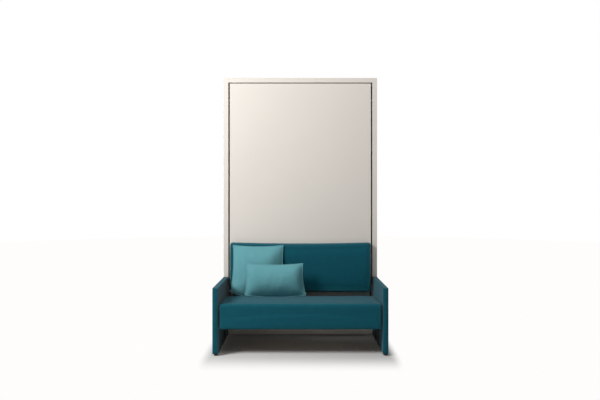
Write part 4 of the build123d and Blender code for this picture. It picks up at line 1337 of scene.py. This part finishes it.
@dataclass
class Mattress:
    """Foam mattress: quilted on both sleeping faces, a plain band round it, welts on its edges."""

    rounding: float = 26 * MM
    cell: float = 15 * MM
    quilt: float = 130 * MM
    quilt_depth: float = 4 * MM
    channel_slope: float = 2.2
    plain_edge: tuple[float, float] = (20 * MM, 60 * MM)
    band_edge: tuple[float, float] = (12 * MM, 4 * MM)
    welt_inset: float = 6 * MM
    welt: Welt = Welt(2.6 * MM, 20 * MM)

    def build(self) -> None:
        """Makes the mattress and its welts."""
        low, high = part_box("mattress")
        pad = self.rounded_block(low, high)
        self.quilt_faces(pad, low, high)
        smooth_shade(pad)
        lay_cloth_map(pad)
        dress(pad, TICKING, "bed")
        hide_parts("mattress")
        welts = []
        for y, sign in ((low.y, 1), (high.y, -1)):
            inset = self.welt_inset
            place = y + sign * inset
            corners = [Vector((x, place, z)) for x, z in (
                (low.x + inset, low.z + inset), (high.x - inset, low.z + inset),
                (high.x - inset, high.z - inset), (low.x + inset, high.z - inset))]
            welts.append(self.welt.lay("welt", pad, corners, True))
        dress(join("mattress_welts", welts), TICKING_WELT, "bed")

    def rounded_block(self, low: Vector, high: Vector) -> bpy.types.Object:
        """Block of even cells whose edges are rounded off."""
        size = high - low
        work = bmesh.new()
        bmesh.ops.create_cube(work, size=1.0, matrix=Matrix.LocRotScale(
            (low + high) / 2, None, size))
        for axis in range(3):
            cut_across(work, low, high, axis, max(3, round(size[axis] / self.cell)))
        piece = new_piece("mattress_pad", mesh_of(work, "mattress_pad"))
        points = points_of(piece)
        core = np.clip(points, np.array(low) + self.rounding, np.array(high) - self.rounding)
        away = points - core
        length = np.maximum(np.linalg.norm(away, axis=1), 1e-9)
        largest = np.abs(away).max(axis=1)
        move_points(piece, core + away * (largest / length)[:, None])
        return piece

    def quilt_faces(self, piece: bpy.types.Object, low: Vector, high: Vector) -> None:
        """Sinks diamond channels into both sleeping faces."""
        points = points_of(piece)
        middle = (low + high) / 2
        diagonal = math.pi / self.quilt
        first = np.abs(np.sin((points[:, 0] + points[:, 2]) * diagonal))
        second = np.abs(np.sin((points[:, 0] - points[:, 2]) * diagonal))
        sunk = 1 - np.minimum(1, np.minimum(first, second) * self.channel_slope)
        inside = smooth_step(np.minimum(points[:, 0] - low.x, high.x - points[:, 0]),
                             *self.plain_edge)
        inside *= smooth_step(np.minimum(points[:, 2] - low.z, high.z - points[:, 2]),
                              *self.plain_edge)
        face = smooth_step(np.abs(points[:, 1] - middle.y),
                           *((high.y - low.y) / 2 - edge for edge in self.band_edge))
        points[:, 1] -= np.sign(points[:, 1] - middle.y) * sunk * inside * face * self.quilt_depth
        move_points(piece, points)


@dataclass
class MattressStraps:
    """Webbing straps over the mattress, each a flat band with its ends turned onto the rails."""

    width: float = 45 * MM
    thickness: float = 1.6 * MM
    bend: float = 26 * MM

    def build(self) -> None:
        """Makes both straps as one piece."""
        low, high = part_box("mattress_straps")
        levels = (low.z + self.width / 2, high.z - self.width / 2)
        bands = [self.band(low, high, level) for level in levels]
        straps = join("mattress_webbing", bands)
        lay_cloth_map(straps)
        dress(straps, WEBBING, "bed")
        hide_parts("mattress_straps")

    def band(self, low: Vector, high: Vector, level: float) -> bpy.types.Object:
        """One strap: out from a rail, round the mattress and back to the other rail."""
        inset = self.thickness / 2
        left = low.x + inset
        near, far = low.y, high.y - inset
        corner = self.bend
        route = [Vector((left, near, level)), Vector((left, far - corner, level))]
        for step in range(1, 7):
            angle = math.pi / 2 * step / 6
            route.append(Vector((left + corner * (1 - math.cos(angle)),
                                 far - corner * (1 - math.sin(angle)), level)))
        route += [Vector((-place.x, place.y, level)) for place in reversed(route)]
        work = bmesh.new()
        rows = []
        for index, place in enumerate(route):
            ahead = route[min(index + 1, len(route) - 1)] - route[max(index - 1, 0)]
            outward = Vector((-ahead.y, ahead.x, 0)).normalized() * inset
            rows.append([work.verts.new(place + sign * outward + Vector((0, 0, rise)))
                         for sign, rise in ((1, -self.width / 2), (1, self.width / 2),
                                            (-1, self.width / 2), (-1, -self.width / 2))])
        for first, second in zip(rows, rows[1:]):
            for step in range(4):
                after = (step + 1) % 4
                work.faces.new([first[step], first[after], second[after], second[step]])
        work.faces.new(rows[0][::-1])
        work.faces.new(rows[-1])
        bmesh.ops.recalc_face_normals(work, faces=work.faces)
        return new_piece("strap", mesh_of(work, "strap"))


# The studio

@dataclass
class Studio:
    """Camera, lamps, pale floor and white surroundings."""

    camera_place: tuple[float, float, float] = (-0.003, -4.894, 1.1695)
    lens: float = 35.07
    key_place: tuple[float, float, float] = (-3.0, -2.0, 3.2)
    key_power: float = 174.0
    key_size: float = 1.4
    top_place: tuple[float, float, float] = (0.0, -2.5, 4.2)
    top_power: float = 38.0
    top_size: float = 2.0
    surroundings: float = 0.17
    floor_radius: float = 14.0
    shadow_start: float = -0.02
    shadow_reach: float = 0.42
    side_weight: float = 4.5

    def build(self) -> None:
        """Sets everything up."""
        self.place_camera()
        self.lamp("key", self.key_place, self.key_power, self.key_size)
        self.lamp("top", self.top_place, self.top_power, self.top_size)
        self.surround()
        self.lay_floor()

    def place_camera(self) -> None:
        """The photograph's view: level, straight at the cabinet."""
        data = bpy.data.cameras.new("camera")
        data.lens = self.lens
        data.sensor_width = 36.0
        camera = bpy.data.objects.new("camera", data)
        camera.location = self.camera_place
        camera.rotation_euler = (math.pi / 2, 0, 0)
        bpy.context.scene.collection.objects.link(camera)
        bpy.context.scene.camera = camera

    def lamp(self, name: str, place: tuple[float, float, float], power: float,
             size: float) -> None:
        """A square soft lamp that looks at the middle of the object."""
        data = bpy.data.lights.new(name, "AREA")
        data.energy = power
        data.size = size
        lamp = bpy.data.objects.new(name, data)
        lamp.location = place
        aim = Vector((0, 0, 1.0)) - Vector(place)
        lamp.rotation_euler = aim.to_track_quat("-Z", "Y").to_euler()
        bpy.context.scene.collection.objects.link(lamp)

    def seen_directly(self, tree: bpy.types.NodeTree) -> bpy.types.NodeSocket:
        """One for rays from the camera, from a gloss or through glass, otherwise none."""
        rays = add_node(tree, "ShaderNodeLightPath")
        glossy = reckon(tree, "MAXIMUM", rays.outputs["Is Camera Ray"],
                        rays.outputs["Is Glossy Ray"])
        return reckon(tree, "MAXIMUM", glossy, rays.outputs["Is Transmission Ray"])

    def surround(self) -> None:
        """White to look at, and a plain level of light from all round."""
        world = bpy.data.worlds.new("studio")
        bpy.context.scene.world = world
        world.use_nodes = True
        tree = world.node_tree
        tree.nodes.clear()
        light = add_node(tree, "ShaderNodeBackground",
                         {"Color": linear("#FFFFFF"), "Strength": self.surroundings})
        white = add_node(tree, "ShaderNodeBackground",
                         {"Color": linear("#FFFFFF"), "Strength": 1.0})
        mix = add_node(tree, "ShaderNodeMixShader",
                       {0: self.seen_directly(tree), 1: light.outputs[0], 2: white.outputs[0]})
        add_node(tree, "ShaderNodeOutputWorld", {0: mix.outputs[0]})

    def lay_floor(self) -> None:
        """A pale floor that fades to white away from the object and keeps its shadow near it."""
        work = bmesh.new()
        bmesh.ops.create_circle(work, cap_ends=True, radius=self.floor_radius, segments=64)
        floor = new_piece("floor", mesh_of(work, "floor"))
        material = bpy.data.materials.new("painted studio floor")
        material.use_nodes = True
        tree = material.node_tree
        shader = tree.nodes["Principled BSDF"]
        shader.inputs["Base Color"].default_value = linear("#CCCBCA")
        shader.inputs["Roughness"].default_value = 0.9
        shader.inputs["Specular IOR Level"].default_value = 0.1
        share = add_node(tree, "ShaderNodeMapRange",
                         {"Value": self.away_from_object(tree), "From Min": self.shadow_start,
                          "From Max": self.shadow_reach}, interpolation_type="SMOOTHSTEP")
        seen = reckon(tree, "MULTIPLY", share.outputs[0], self.seen_directly(tree))
        white = add_node(tree, "ShaderNodeEmission", {"Color": linear("#FEFDFC"), "Strength": 1.0})
        mix = add_node(tree, "ShaderNodeMixShader",
                       {0: seen, 1: shader.outputs[0], 2: white.outputs[0]})
        tree.links.new(mix.outputs[0], tree.nodes["Material Output"].inputs["Surface"])
        floor.data.materials.append(material)

    def away_from_object(self, tree: bpy.types.NodeTree) -> bpy.types.NodeSocket:
        """How far a place on the floor is from the object's footprint, more so at its sides."""
        place = add_node(tree, "ShaderNodeTexCoord").outputs["Object"]
        half = (CAD_BOX[1] - CAD_BOX[0]) / 2
        beyond = reckon_vector(tree, "SUBTRACT", reckon_vector(tree, "ABSOLUTE", place),
                               (half.x, half.y, 0.0))
        kept = reckon_vector(tree, "MAXIMUM", beyond, (0.0, 0.0, 0.0))
        weighed = reckon_vector(tree, "MULTIPLY", kept, (self.side_weight, 1.0, 0.0))
        length = add_node(tree, "ShaderNodeVectorMath", {0: weighed}, operation="LENGTH")
        return length.outputs["Value"]


def write_sizes() -> None:
    """Brings the scene's placements up to date."""
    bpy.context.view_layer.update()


def main() -> None:
    """Builds the studio, dresses the CAD nodes and makes every new piece."""
    logging.basicConfig(level=logging.INFO, format="%(name)s %(message)s")
    Studio().build()
    dress_cad_nodes()
    SeatPad().build()
    BackrestPad().build()
    ArmCover().build()
    Pillow("pillow_square", top_width=424 * MM, bottom_width=456 * MM, corner_rise=50 * MM,
           front_share=64 / 86).build()
    Pillow("pillow_lumbar", top_width=474 * MM, bottom_width=504 * MM, corner_rise=11 * MM,
           front_share=62 / 80, skew=-10 * MM).build()
    Mattress().build()
    MattressStraps().build()
    BalanceSprings().build()
    Fixings().build()
    scene = bpy.context.scene
    scene.view_settings.view_transform = "Standard"
    write_sizes()


if __name__ == "__main__":
    main()
